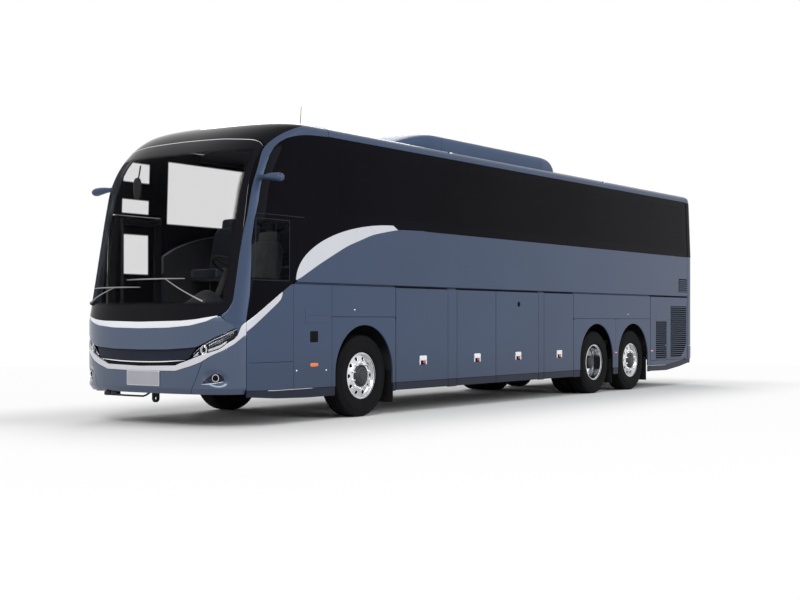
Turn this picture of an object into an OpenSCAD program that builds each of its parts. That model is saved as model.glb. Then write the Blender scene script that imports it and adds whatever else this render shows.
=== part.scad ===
// Three-axle touring coach. The nose points to -Y, the driver sits on the +X side and Z is up.
// The origin is on the road, under the middle of the body. Every size is in millimetres.

/* [Overall] */
// Length over the bumpers
body_length = 13200; // [12000:100:16000]
// Width over the side panels
body_width = 2550; // [2100:10:3100]
// Height of the roof's crown
roof_z = 3645; // [3500:5:4400]
// Underside of the side skirts
skirt_z = 300; // [250:5:360]

/* [Axles and wheels] */
// Nose to front axle
front_overhang = 2650; // [2300:10:3200]
// Front axle to drive axle
wheelbase = 6450; // [5300:10:7800]
// Drive axle to tag axle
tag_spacing = 1400; // [1300:10:1680]
// Tyre outer radius
tyre_r = 522; // [470:1:560]
// Tyre section width
tyre_w = 290; // [240:1:320]
// Radius of the rim's bead seat
rim_r = 286; // [260:1:310]
// Tyre wall to side panel face
tyre_inset = 40; // [30:1:80]
// Distance between the twin tyres' centres
twin_pitch = 330; // [320:1:400]
// Radius of the wheel arches
arch_r = 600; // [590:1:640]
// Height of the wheel arches' centres
arch_z = 565; // [540:1:600]
// Distance between the kingpins
kingpin_span = 1720; // [1600:10:1800]
// Length of the steering arms
steer_arm = 190; // [150:1:220]

/* [Body levels] */
// Hinge line of the luggage flaps
waist_z = 1667; // [1600:1:1750]
// Lower edge of the glass band
sill_z = 2430; // [2300:1:2550]
// Upper edge of the glass band
glass_top_z = 3480; // [3300:1:3500]
// Top of the passenger deck
deck_z = 1450; // [1400:1:1500]
// Top of the driver's deck
driver_deck_z = 1150; // [1050:1:1250]
// Underside of the front bumper
bumper_z = 350; // [320:1:400]
// Lower edge of the windscreen on the centre line
screen_foot_z = 1215; // [1180:1:1300]

/* [Body shape] */
// Inward lean of each side at the top of the glass band
tumblehome = 40; // [0:1:80]
// Depth of the rounded nose in plan
nose_depth = 700; // [500:10:900]
// Lean of the windscreen, as a slope
screen_slope = 0.2; // [0.1:0.01:0.3]
// Depth over which the dome turns into the roof
dome_depth = 1000; // [700:10:1200]
// Depth of the rounded rear corners in plan
tail_depth = 260; // [150:10:400]

/* [Walls and gaps] */
// Thickness of walls and roof
wall = 45; // [35:1:60]
// Thickness of skirt panels and flaps
flap_t = 40; // [30:1:45]
// Thickness of the glass
glass = 8; // [6:1:12]
// Gap between fixed panels
seam = 0.5; // [0.3:0.1:0.8]
// Gap around moving panels
shut = 8; // [6:1:12]
// Radial clearance of pins in their bores
pin_gap = 0.05; // [0.02:0.01:0.1]

/* [Luggage flaps] */
// Widths of the first left flaps, front to back
flap_widths = [1240, 1050, 1270]; // [900:10:1500]
// Widths of the body posts behind the first and the third left flap
post_widths = [230, 170]; // [100:10:300]
// Radius of the hinge bead
bead_r = 6; // [5:0.5:8]

/* [Passenger door] */
// Doorway width
door_w = 900; // [700:10:1000]
// Top of the door
door_top_z = 2560; // [2400:10:2700]
// Length of the door's swing arms
door_arm_r = 640; // [500:10:640]

/* [Seats] */
// Distance between rows
row_pitch = 790; // [740:10:900]
// Width of a double seat
seat_w = 900; // [840:10:980]

/* [Hidden] */
$fn = 48;
half = body_width / 2;
front_y = -body_length / 2;
rear_y = body_length / 2;
axle1_y = front_y + front_overhang;
axle2_y = axle1_y + wheelbase;
axle3_y = axle2_y + tag_spacing;
wheel_x = half - tyre_inset - tyre_w / 2;
twin_x = wheel_x - twin_pitch / 2;
kingpin_x = kingpin_span / 2;

// The roof's cross-section and the nose are superellipses with these powers.
roof_n = 4;
nose_n = 3;
tail_n = 5;
dome_start_z = glass_top_z - 780;
// Foot of the dome at the sides.
dome_foot_z = glass_top_z - 160;

// Lengthwise stations of the body panels.
arch_clear = 75;
arch_front_y = axle1_y - arch_r - arch_clear;
bay_front_y = axle1_y + arch_r + arch_clear;
bay_rear_y = axle2_y - arch_r - 240;
arch_rear_y = axle3_y + arch_r + 110;
deck_front_y = front_y + 1750;
deck_x = half - wall - seam;
shelf_x = deck_x - 240;
panel_y = front_y + 1250;
tail_y = rear_y - 320;
band_rear_y = tail_y - seam;

// Right door and swing arm.
door_front_y = front_y + 640;
door_rear_y = door_front_y + door_w;
door_bottom_z = skirt_z + 30;
post_y = door_front_y + 115;
post_x = -(half - 155);
post_r = 20;

// Hinge rails: bead, socket and ring radii, and how far the line lies behind the skin.
socket_r = bead_r + 0.4;
ring_r = socket_r + 3.6;
hinge_in = 13;
neck_t = 4;
flap_top = ring_r + 5;
wall_foot = ring_r + 2;

// Chassis rails.
rail_x = 430;
rail_w = 80;
rail_z = [640, 860];
under_z = [skirt_z, skirt_z + 38];
hold_floor_t = 40;
hold_floor_z = under_z[1] + hold_floor_t + seam;
deck_t = 60;
spindle_r = 45;
hub_r = 60;
kingpin_r = 25;
eye_h = 140;
ear_h = 40;
ear_gap = 5;
boss_r = 50;
arm_z = tyre_r - eye_h / 2 - ear_gap - ear_h;
ball_r = 12;

body_blue = [0.31, 0.365, 0.45];
silver = [0.78, 0.78, 0.81];
alloy = [0.75, 0.76, 0.78];
iron = [0.16, 0.16, 0.17];
rubber = [0.06, 0.06, 0.065];
tinted = [0.05, 0.05, 0.07, 0.8];
trim = [0.2, 0.2, 0.22];
cloth = [0.2, 0.24, 0.33];

// ---- The skin: half width at a height, nose line at a height, and the skin between them ----

// Half width of the body at height z, with the skin moved in by i.
function half_width(z, i = 0) =
    z < sill_z ? half - i
    : z < glass_top_z ? half - i - tumblehome * (z - sill_z) / (glass_top_z - sill_z)
    : (half - i - tumblehome)
        * pow(max(0, 1 - pow((z - glass_top_z) / (roof_z - i - glass_top_z), roof_n)), 1 / roof_n);

// Y of the nose on the centre line at height z: upright, then leaning, then turning into the roof.
function nose_line(z, i = 0) =
    front_y + i + screen_slope * max(0, z - screen_foot_z)
    + (z > dome_start_z
        ? (dome_depth - i) * (1 - sqrt(max(0, 1 - pow((z - dome_start_z) / (roof_z - i - dome_start_z), 2))))
        : 0);

// Depth of the nose's rounding at height z.
function rounding(z, i = 0) = (nose_depth - i) * half_width(z, i) / (half - i);

// Skin point of the nose at width ratio r, from -1 to 1, and height z.
function nose_point(r, z, i = 0) =
    [r * half_width(z, i),
     nose_line(z, i) + rounding(z, i) * (1 - pow(max(0, 1 - pow(abs(r), nose_n)), 1 / nose_n)),
     z];

// Skin point of the side s (1 left, -1 right) at length y and height z.
function side_point(s, y, z, i = 0) =
    let (t = max(0, 1 - (y - nose_line(z, i)) / rounding(z, i)))
    [s * half_width(z, i) * pow(max(0, 1 - pow(t, nose_n)), 1 / nose_n), y, z];

// Outward direction of the nose in plan, at width ratio r.
function nose_out(r) =
    let (x = pow(abs(r), nose_n - 1) / half, y = pow(1 - pow(abs(r), nose_n),
        (nose_n - 1) / nose_n) / nose_depth)
    [sign(r) * x, -y, 0] / norm([x, y]);

function mix(a, b, t) = a + (b - a) * t;
function steps(a, b, n) = [for (k = [0:n]) mix(a, b, k / n)];
function flat(rows) = [for (row = rows) for (p = row) p];

// A closed wall between two grids of points with as many rows and columns. The rows run up and
// the columns run to the right of someone who looks at the outer face.
// A hole leaves out the cells between rows hole[0], hole[1] and columns hole[2], hole[3].
module wall_between(outer, inner, hole = [0, 0, 0, 0]) {
    rows = len(outer);
    cols = len(outer[0]);
    n = rows * cols;
    points = concat(flat(outer), flat(inner));
    function at(i, j) = i * cols + j;
    function quad(a, b, c, d) = [[c, b, a], [d, c, a]];
    function is_wall(i, j) = i < hole[0] || i >= hole[1] || j < hole[2] || j >= hole[3];
    function bottom(i, j0, j1) = [for (j = [j0:1:j1 - 1]) quad(at(i, j), n + at(i, j), n + at(i, j + 1),
        at(i, j + 1))];
    function top(i, j0, j1) = [for (j = [j0:1:j1 - 1]) quad(at(i, j), at(i, j + 1), n + at(i, j + 1),
        n + at(i, j))];
    function left(j, i0, i1) = [for (i = [i0:1:i1 - 1]) quad(at(i, j), at(i + 1, j), n + at(i + 1, j),
        n + at(i, j))];
    function right(j, i0, i1) = [for (i = [i0:1:i1 - 1]) quad(at(i, j), n + at(i, j), n + at(i + 1, j),
        at(i + 1, j))];
    faces = flat(concat(
        [for (i = [0:rows - 2]) for (j = [0:cols - 2]) if (is_wall(i, j))
            quad(at(i, j), at(i, j + 1), at(i + 1, j + 1), at(i + 1, j))],
        [for (i = [0:rows - 2]) for (j = [0:cols - 2]) if (is_wall(i, j))
            quad(n + at(i, j), n + at(i + 1, j), n + at(i + 1, j + 1), n + at(i, j + 1))],
        bottom(0, 0, cols - 1), top(rows - 1, 0, cols - 1), left(0, 0, rows - 1),
            right(cols - 1, 0, rows - 1),
        top(hole[0], hole[2], hole[3]), bottom(hole[1], hole[2], hole[3]),
        right(hole[2], hole[0], hole[1]), left(hole[3], hole[0], hole[1])));
    // Triangles that shrink to a line at the dome's crown are left out.
    polyhedron(points, [for (f = faces)
        if (norm(points[f[0]] - points[f[1]]) > 0.001 && norm(points[f[1]] - points[f[2]]) > 0.001
            && norm(points[f[2]] - points[f[0]]) > 0.001) f]);
}

// A piece of the nose over width ratios rs, between the heights low and high at each ratio.
module nose_patch(rs, low, high, rows, t, set = 0) {
    function grid(i) = [for (k = [0:rows])
        [for (c = [0:len(rs) - 1]) nose_point(rs[c], mix(low[c], min(high[c], roof_z - i), k / rows), i)]];
    wall_between(grid(set), grid(set + t));
}

// A piece of the side s over heights zs, from the line y0(z) to y1(z), given at each height, in
// columns at the shares us of the way. In place of y0, a width ratio starts it at the nose.
module side_patch(s, zs, y0, y1, us, t, set = 0, hole = [0, 0, 0, 0]) {
    n = len(us) - 1;
    function start(k, i) = is_list(y0) ? y0[k] : nose_point(y0, zs[k], i)[1] + 2 * seam;
    function grid(i) = [for (k = [0:len(zs) - 1])
        [for (c = [0:n]) side_point(s, mix(start(k, i), y1[k], us[s > 0 ? c : n - c]), zs[k], i)]];
    wall_between(grid(set), grid(set + t), hole);
}

module mirror_copy() {
    children();
    mirror([1, 0, 0]) children();
}

module box(x, y, z) {
    translate([x[0], y[0], z[0]]) cube([x[1] - x[0], y[1] - y[0], z[1] - z[0]]);
}

// A shape drawn in the Y-Z plane, made as thick as x[0] to x[1].
module across(x) {
    translate([x[0], 0, 0]) rotate([90, 0, 90]) linear_extrude(x[1] - x[0]) children();
}

// A shape drawn in the X-Z plane, made as long as y[0] to y[1].
module along(y) {
    translate([0, y[1], 0]) rotate([90, 0, 0]) linear_extrude(y[1] - y[0]) children();
}

module rod_x(x, y, z, r) {
    translate([x[0], y, z]) rotate([0, 90, 0]) cylinder(r = r, h = x[1] - x[0]);
}

// ---- Side walls: a leaning wall from the waist to the roof, with glass bonded into a rebate ----

wall_zs = [waist_z + wall_foot, sill_z, glass_top_z];

// Section of a leaning layer of the left wall, from depth a to depth b behind the skin.
module wall_section(a, b, low = wall_zs[0], high = glass_top_z - seam) {
    polygon(concat(
        [for (z = [low, sill_z, high]) [half_width(min(z, glass_top_z - 0.001), a), z]],
        [for (z = [high, sill_z, low]) [half_width(min(z, glass_top_z - 0.001), b), z]]));
}

// Rows of windows: post centres along the glass band.
window_pitch = 1640;
band_front_y = front_y + 1630;
window_count = round((band_rear_y - band_front_y) / window_pitch);
window_y = steps(band_front_y, band_rear_y, window_count);
window_post = 110;
window_high = glass_top_z - 130;
pane_gap = 6;

// The band's lower edge: a quarter ellipse from the waist up to the sill, then straight.
sweep_y = [front_y + 1300, front_y + 3300];
sweep_foot = waist_z + wall_foot + 20;
function band_low(y) =
    y >= sweep_y[1] ? sill_z
    : mix(sweep_foot, sill_z, sqrt(max(0, 1 - pow(1 - (y - sweep_y[0]) / (sweep_y[1] - sweep_y[0]), 2))));

module pane_outline(a, b, low_add, high) {
    polygon(concat([for (y = steps(a, b, b <= sweep_y[1] || a < sweep_y[1] ? 12 : 1)) [y,
        band_low(y) + low_add]],
        [[b, high], [a, high]]));
}

module side_walls() {
    color(body_blue) mirror_copy() {
        difference() {
            along([band_front_y, band_rear_y]) wall_section(0, wall);
            // The rebate that the glass is bonded in.
            intersection() {
                along([band_front_y - 1, band_rear_y + 1]) wall_section(-1, glass + seam, wall_zs[0],
                    glass_top_z + 1);
                across([half - 2 * wall - tumblehome, half + wall])
                    pane_outline(band_front_y - 1, band_rear_y + 1, 0, glass_top_z + 1);
            }
            for (k = [0:window_count - 1])
                across([half - 2 * wall - tumblehome, half + wall])
                    pane_outline(window_y[k] + window_post, window_y[k + 1] - window_post, 70, window_high);
        }
        hinge_rail([bay_front_y, bay_rear_y]);
    }
    color(body_blue) hinge_rail([arch_rear_y, tail_y - seam]);
}

module side_windows() {
    color(tinted) {
        mirror_copy() for (k = [0:window_count - 1])
            intersection() {
                along([window_y[k] + pane_gap / 2, window_y[k + 1] - pane_gap / 2])
                    wall_section(0, glass, wall_zs[0], glass_top_z - seam);
                across([half - 2 * wall - tumblehome, half + wall])
                    pane_outline(window_y[k] + pane_gap / 2, window_y[k + 1] - pane_gap / 2, seam,
                        glass_top_z - seam);
            }
        front_side_glass(1, wall_zs[0] + seam);
        front_side_glass(-1, door_top_z + shut);
    }
}

// Curved glass between the front pillar and the glass band.
module front_side_glass(s, low) {
    // Its rows are the pillar's, so that their edges bend at the same heights.
    zs = concat([low], [for (z = steps(lookup(pillar_r[1], screen_low), dome_foot_z - seam, screen_rows))
        if (z > low + 20) z]);
    side_patch(s, zs, pillar_r[1], [for (z = zs) band_front_y - seam],
        steps(0, 1, 8), glass);
}

// ---- Hinges: a bead in a C-shaped socket, along the waist ----

// Socket and its web up to the wall, on the left side.
module hinge_rail(y) {
    along(y) translate([half - hinge_in, waist_z]) difference() {
        union() {
            circle(r = ring_r);
            translate([-ring_r, 0]) square([8, wall_foot + 1]);
        }
        circle(r = socket_r);
        // The mouth leaves room for the neck from hanging to level.
        polygon([[0, 0], [2 * ring_r, 2 * ring_r * tan(24)], [2 * ring_r, -3 * ring_r],
            [-2 * ring_r * tan(24), -2 * ring_r]]);
    }
}

module hinge_leaf(y, drop) {
    along(y) translate([half - hinge_in, waist_z]) {
        circle(r = bead_r);
        translate([-neck_t / 2, -drop]) square([neck_t, drop]);
    }
}

// A hanging flap on the left side: a pan with a hem, and its bead.
module flap(y, low) {
    hem = 60;
    skin_t = 8;
    top = waist_z - flap_top;
    difference() {
        box([half - flap_t, half], y, [low, top]);
        box([half - flap_t - 1, half - skin_t], [y[0] + hem, y[1] - hem], [low + hem, top - hem]);
    }
    hinge_leaf([y[0] + shut, y[1] - shut], flap_top + 1);
}

// Flap edges along the left side: three widths with posts, and the last takes what is left.
flap_y = [bay_front_y,
    bay_front_y + flap_widths[0],
    bay_front_y + flap_widths[0] + post_widths[0],
    bay_front_y + flap_widths[0] + post_widths[0] + flap_widths[1],
    bay_front_y + flap_widths[0] + post_widths[0] + flap_widths[1] + flap_widths[2],
    bay_front_y + flap_widths[0] + post_widths[0] + flap_widths[1] + flap_widths[2] + post_widths[1],
    bay_rear_y];
left_flaps = [[flap_y[0], flap_y[1]], [flap_y[2], flap_y[3]], [flap_y[3], flap_y[4]],
    [flap_y[5], flap_y[6]]];
right_flaps = [[flap_y[0], flap_y[1]], [flap_y[2], flap_y[4]], [flap_y[5], flap_y[6]]];

module luggage_flap(span) {
    color(body_blue) flap([span[0] + shut / 2, span[1] - shut / 2], skirt_z + 10);
}

// ---- Skirts ----

module fixed_panel(y, low = skirt_z) {
    box([half - flap_t, half], [y[0] + seam / 2, y[1] - seam / 2], [low, waist_z + wall_foot - seam]);
}

module arch_cut(y) {
    across([half - flap_t - 1, half + 1]) {
        translate([y, arch_z]) circle(r = arch_r);
        translate([y - arch_r, 0]) square([2 * arch_r, arch_z]);
    }
}

// The lower body of the left side, from front to the tail, without what opens.
module skirt_side(front) {
    difference() {
        union() {
            fixed_panel([front, arch_front_y]);
            fixed_panel([arch_front_y, bay_front_y - shut / 2]);
            fixed_panel([bay_rear_y + shut / 2, axle3_y - tag_spacing / 2]);
            fixed_panel([axle3_y - tag_spacing / 2, arch_rear_y - shut / 2]);
        }
        arch_cut(axle1_y);
        arch_cut(axle2_y);
        arch_cut(axle3_y);
    }
    // Body posts between the flaps hang from the hinge rail's web and stand on the hold floor.
    for (span = [[flap_y[1], flap_y[2]], [flap_y[4], flap_y[5]]])
        box([half - flap_t, half], [span[0] + shut / 2, span[1] - shut / 2], [skirt_z, waist_z - flap_top]);
}

module corner_panel(s, y) {
    zs = steps(skirt_z, waist_z + wall_foot - seam, 8);
    side_patch(s, zs, pillar_r[1], [for (z = zs) y], steps(0, 1, 6), wall);
}

module skirt_panels() {
    color(body_blue) {
        skirt_side(panel_y);
        mirror([1, 0, 0]) skirt_side(door_rear_y + shut);
        corner_panel(1, panel_y - seam / 2);
        corner_panel(-1, door_front_y - shut);
        mirror([1, 0, 0]) {
            fixed_panel([arch_rear_y, tail_y]);
        }
    }
}

// ---- Roof ----

roof_cols = 24;
// Height of the roof at column k of its cross-section, and its side.
function roof_profile(k, i) =
    let (a = 180 * k / roof_cols - 90, c = pow(abs(sin(a)), 2 / roof_n), h = pow(cos(a), 2 / roof_n))
    [sign(sin(a)) * (half - i - tumblehome) * c, glass_top_z + (roof_z - i - glass_top_z) * h];

module roof() {
    function front_edge(p, i) = nose_line(p[1], i) + rounding(p[1], i);
    function row(i, t) = [for (k = [0:roof_cols]) let (p = roof_profile(roof_cols - k, i))
        [p[0], mix(front_edge(p, i) + 8, tail_y - seam, t), p[1]]];
    // The cant rail between the dome and the glass band, under the roof's edge.
    rail_zs = steps(dome_foot_z, glass_top_z - seam, 3);
    color(body_blue) {
        wall_between([row(0, 1), row(0, 0)], [row(wall, 1), row(wall, 0)]);
        for (s = [-1, 1])
            side_patch(s, rail_zs, 1, [for (z = rail_zs) band_front_y - seam], [0, 1], wall);
        // Whip aerial.
        translate([0, front_y + 2880, roof_z - 4]) {
            cylinder(r = 30, h = 40);
            rotate([-5, 0, 0]) cylinder(r = 5, h = 465);
        }
    }
}

ac_y = [front_y + 3830, front_y + 8250];
ac_h = 245;
ac_half = 960;
module ac_unit() {
    ramp = 1000;
    color(body_blue) intersection() {
        across([-ac_half, ac_half]) polygon([[ac_y[0], roof_z + seam], [ac_y[0], roof_z + 30],
            [ac_y[0] + ramp / 2, roof_z + ac_h - 60], [ac_y[0] + ramp, roof_z + ac_h],
            [ac_y[1] - 420, roof_z + ac_h], [ac_y[1] - 120, roof_z + ac_h - 70],
            [ac_y[1], roof_z + 90], [ac_y[1], roof_z + seam]]);
        along(ac_y) polygon([[-ac_half, roof_z], [20 - ac_half, roof_z + ac_h - 60],
            [80 - ac_half, roof_z + ac_h],
            [ac_half - 80, roof_z + ac_h], [ac_half - 20, roof_z + ac_h - 60], [ac_half, roof_z]]);
    }
}

// ---- Front end ----

pillar_r = [0.92, 0.985];
screen_rows = 12;
// Width ratios that every piece of the nose shares.
nose_rs = [0, 0.15, 0.3, 0.45, 0.575, 0.595, 0.7, 0.8, 0.86, 0.92, 0.955, 0.985];
function both_sides(rs) = concat([for (k = [len(rs) - 1:-1:1]) -rs[k]], rs);
full_rs = [for (r = both_sides(nose_rs)) r];
screen_rs = [for (r = full_rs) if (abs(r) <= pillar_r[0]) r];
lamp_rs = [for (r = nose_rs) if (r >= 0.595 && r <= 0.955) r];
grille_rs = [for (r = full_rs) if (abs(r) <= 0.575) r];

function edge(rs, table, add = 0) = [for (r = rs) lookup(abs(r), table) + add];
bumper_top = [[0, 700], [0.575, 715], [0.595, 775], [0.92, 1035], [0.985, 1085]];
mask_low = [[0, 890], [0.575, 905], [0.595, 930], [0.92, 1125], [0.985, 1150]];
screen_low = [[0, screen_foot_z], [0.5, screen_foot_z + 12], [0.92, screen_foot_z + 65],
    [0.985, screen_foot_z + 75]];
screen_high = [[0, glass_top_z - 100], [0.5, glass_top_z - 112], [0.92, glass_top_z - 150],
    [0.985, dome_foot_z], [1, dome_foot_z]];

module front_bumper() {
    color(body_blue)
        nose_patch(full_rs, edge(full_rs, [[0, bumper_z], [1, bumper_z]]),
            edge(full_rs, bumper_top, -seam), 4, wall);
}

module front_grille() {
    color(iron)
        nose_patch(grille_rs, edge(grille_rs, bumper_top), edge(grille_rs, mask_low, -seam), 1, 20, 25);
}

module front_mask() {
    // The mask ends at the corner seam, where it meets the bumper's horns.
    color(body_blue)
        nose_patch(full_rs, edge(full_rs, mask_low), edge(full_rs, screen_low, -seam), 4, wall);
}

module windscreen() {
    color(tinted)
        nose_patch(screen_rs, edge(screen_rs, screen_low), edge(screen_rs, screen_high, -seam),
            screen_rows, glass);
}

module front_pillars() {
    rs = [pillar_r[0] + 0.001, mix(pillar_r[0], pillar_r[1], 0.5), pillar_r[1]];
    color(body_blue) {
        nose_patch(rs, edge(rs, screen_low), edge(rs, screen_high, -seam), screen_rows, wall);
        nose_patch([for (k = [2:-1:0]) -rs[k]], edge([for (k = [2:-1:0]) rs[k]], screen_low),
            edge([for (k = [2:-1:0]) rs[k]], screen_high, -seam), screen_rows, wall);
    }
}

module front_dome() {
    rs = concat([-1], full_rs, [1]);
    rows = 10;
    // Rows crowd towards the crown, where every column meets.
    function grid(i) = [for (k = [0:rows]) [for (r = rs)
        let (t = 1 - pow(1 - k / rows, 2)) nose_point(r, mix(lookup(abs(r), screen_high), roof_z - i, t),
            i)]];
    color(tinted) wall_between(grid(0), grid(wall));
}

module headlights() {
    low = edge(lamp_rs, bumper_top);
    high = edge(lamp_rs, mask_low, -seam);
    n = len(lamp_rs) - 1;
    color(silver) {
        nose_patch(lamp_rs, low, high, 2, wall);
        nose_patch([for (k = [n:-1:0]) -lamp_rs[k]], [for (k = [n:-1:0]) low[k]],
            [for (k = [n:-1:0]) high[k]],
            2, wall);
    }
}

module rod_between(a, b, r) {
    hull() for (p = [a, b]) translate(p) sphere(r = r, $fn = 12);
}

// A point off in front of the windscreen, at width x and height z.
function off_screen(x, z, off) = let (r = x / half_width(z)) nose_point(r, z) + nose_out(r) * off;

// A wiper: its arm from foot to elbow, and its blade from end to end. Its foot rests on the glass.
module wiper(foot, elbow, ends) {
    arm_r = 11;
    blade_r = 8;
    xs = steps(ends[0][0], ends[1][0], 3);
    zs = steps(ends[0][1], ends[1][1], 3);
    // The arm rises off the glass along its way, and the blade hangs under its elbow.
    arm = [for (t = steps(0, 1, 4))
        off_screen(mix(foot[0], elbow[0], t), mix(foot[1], elbow[1], t), arm_r - 0.3 + 24 * sqrt(t))];
    for (k = [0:3]) rod_between(arm[k], arm[k + 1], arm_r);
    for (k = [0:2]) rod_between(off_screen(xs[k], zs[k], 20), off_screen(xs[k + 1], zs[k + 1], 20), blade_r);
    rod_between(arm[4], off_screen(elbow[0], elbow[1], 22), blade_r);
}

module wipers() {
    color(rubber) {
        wiper([910, 1435], [350, 1700], [[-300, 1700], [620, 1700]]);
        wiper([-1020, 1435], [-520, 1610], [[-1000, 1610], [-60, 1610]]);
    }
}

module camera_mirrors() {
    foot_r = 40;
    z = glass_top_z - 610;
    // The foot rests on the pillar, whose face leans, so it sits a little closer than its radius.
    foot = nose_point(0.97, z) + nose_out(0.97) * 0.893 * foot_r;
    color(body_blue) mirror_copy()
        hull() {
            translate(foot) sphere(r = foot_r, $fn = 24);
            translate([half + 300, foot[1] - 120, z - 30]) sphere(r = 58, $fn = 24);
            translate([half + 300, foot[1] - 10, z - 30]) sphere(r = 54, $fn = 24);
        }
}

// ---- Rear end ----

tail_cols = 10;
function tail_plan(i) = [for (k = [0:tail_cols]) let (a = 90 * k / tail_cols)
    [(half - i) * pow(sin(90 - a), 2 / tail_n), tail_depth * pow(sin(a),
    2 / tail_n) + rear_y - tail_depth - i]];
lid_x = 960;
lid_z = [760, 1640];
tail_bumper_z = 740;
lamp_x = [1050, 1180];
lamp_z = [1000, 1900];
rear_glass_x = 960;
rear_glass_z = [2480, 3330];

// The solid outline of the tail, moved in by i: width by height, by length, by plan.
module tail_block(i) {
    intersection() {
        along([tail_y, rear_y + 1]) polygon(concat([[-(half - i), 0], [-(half - i), sill_z]],
            [for (k = [0:roof_cols]) roof_profile(k, i)], [[half - i, sill_z], [half - i, 0]]));
        linear_extrude(roof_z + 1)
            polygon(concat([[half - i, tail_y - 10]], tail_plan(i),
                [for (k = [tail_cols:-1:0]) let (p = tail_plan(i)[k]) [-p[0], p[1]]],
                [[-(half - i), tail_y - 10]]));
        across([-half, half]) polygon([[tail_y, i > 0 ? 0 : skirt_z + 20], [tail_y, roof_z - i],
            [rear_y - i - 220, roof_z - i], [rear_y - i - 90, roof_z - i - 40],
            [rear_y - i - 30, roof_z - i - 120],
            [rear_y - i, roof_z - i - 300], [rear_y - i, i > 0 ? 0 : skirt_z + 150]]);
    }
}

module rear_wall() {
    color(body_blue) lid_place() hinge_rail([-lid_x, lid_x]);
    color(body_blue) difference() {
        tail_block(0);
        tail_block(wall);
        box([-half - 1, half + 1], [tail_y - 1, rear_y + 1], [0, tail_bumper_z]);
        box([-lid_x - shut, lid_x + shut], [rear_y - 2 * wall, rear_y + 1],
            [tail_bumper_z - 1, lid_z[1] + wall_foot + 14]);
        box([-rear_glass_x, rear_glass_x], [rear_y - 2 * wall, rear_y + 1], rear_glass_z);
        box([-rear_glass_x - 40, rear_glass_x + 40], [rear_y - glass - seam, rear_y + 1],
            [rear_glass_z[0] - 40, rear_glass_z[1] + 40]);
        mirror_copy() box(lamp_x, [rear_y - 2 * tail_depth, rear_y + 1], lamp_z);
    }
}

module rear_bumper() {
    color(body_blue) intersection() {
        difference() {
            tail_block(0);
            tail_block(wall);
        }
        box([-half - 1, half + 1], [tail_y - 1, rear_y + 1], [0, tail_bumper_z - seam]);
    }
}

module rear_window() {
    color(tinted)
        box([-rear_glass_x - 39, rear_glass_x + 39], [rear_y - glass, rear_y],
            [rear_glass_z[0] - 39, rear_glass_z[1] + 39]);
}

module tail_lamps() {
    color([0.6, 0.05, 0.05]) intersection() {
        difference() {
            tail_block(0);
            tail_block(wall);
        }
        mirror_copy() box([lamp_x[0] + seam, lamp_x[1] - seam], [rear_y - 2 * tail_depth, rear_y + 1],
            [lamp_z[0] + seam, lamp_z[1] - seam]);
    }
}

// ---- Lids at the rear ----

module radiator_door() {
    y = [arch_rear_y + shut / 2, tail_y - shut];
    low = skirt_z + 190;
    color(body_blue) difference() {
        flap(y, low);
        for (z = [low + 110:48:waist_z - 480])
            box([half - 2 * flap_t, half + 1], [y[0] + 230, y[0] + 700], [z, z + 24]);
        for (z = [low + 110:48:waist_z - 220])
            box([half - 2 * flap_t, half + 1], [y[0] + 840, y[1] - 90], [z, z + 24]);
    }
}

// The lid hangs from a bead like a flap's, on the rear wall.
module lid_place() {
    translate([0, rear_y - half, lid_z[1] + flap_top - waist_z]) rotate([0, 0, 90]) children();
}

module engine_lid() {
    color(body_blue) lid_place() {
        difference() {
            box([half - flap_t, half], [-lid_x, lid_x], [waist_z - flap_top - lid_z[1] + lid_z[0],
                waist_z - flap_top]);
            box([half - flap_t - 1, half - 8], [-lid_x + 60, lid_x - 60],
                [waist_z - flap_top - lid_z[1] + lid_z[0] + 60, waist_z - flap_top - 60]);
        }
        hinge_leaf([-lid_x + shut, lid_x - shut], flap_top + 1);
    }
}

// ---- Passenger door: a plug door on a swinging arm ----

arm_zs = [driver_deck_z - 380, door_top_z - 40];
pin_y = post_y + door_arm_r;

door_stile = 110;
door_glass_z = [waist_z - 500, door_top_z - 110];
door_us = let (u = door_stile / door_w) [0, u, 0.5, 1 - u, 1];
door_glass_zs = steps(door_glass_z[0], door_glass_z[1], 4);
door_zs = concat([door_bottom_z], door_glass_zs, [door_top_z]);

// The door's front edge is upright, then follows the pillar.
function door_edge(z) = max(door_front_y, nose_point(pillar_r[1], z, wall)[1] + shut);

module passenger_door() {
    color(body_blue) {
        side_patch(-1, door_zs, [for (z = door_zs) door_edge(z)], [for (z = door_zs) door_rear_y],
            door_us, flap_t,
            0, [1, 5, 1, 3]);
        for (z = arm_zs) difference() {
            union() {
                box([-(half - flap_t + 3), post_x], [pin_y - 24, pin_y + 24], [z - 45, z - 25]);
                translate([post_x, pin_y, z - 45]) cylinder(r = 26, h = 20);
            }
            translate([post_x, pin_y, z - 46]) cylinder(r = 10 + pin_gap, h = 22);
        }
    }
}

module door_window() {
    zs = [for (z = door_glass_zs) z + (z == door_glass_z[0] ? seam : z == door_glass_z[1] ? -seam : 0)];
    color(tinted) side_patch(-1, zs, [for (z = zs) mix(door_edge(z), door_rear_y, door_us[1]) + seam],
        [for (z = zs) mix(door_edge(z), door_rear_y, door_us[3]) - seam], [0, 0.5, 1], glass, 4);
}

module door_arm() {
    color(iron) {
        translate([post_x, post_y, step_z[0] + 10]) cylinder(r = post_r, h = door_top_z - step_z[0] - 60);
        for (z = arm_zs) {
            box([post_x - 14, post_x + 14], [post_y, pin_y], [z - 20, z + 10]);
            translate([post_x, pin_y, z - 20]) cylinder(r = 22, h = 30);
            translate([post_x, pin_y, z - 47]) cylinder(r = 10, h = 40);
        }
    }
}

// ---- Chassis and decks ----

module rail_pair(y, z) {
    mirror_copy() box([rail_x - rail_w / 2, rail_x + rail_w / 2], y, z);
}

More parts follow.
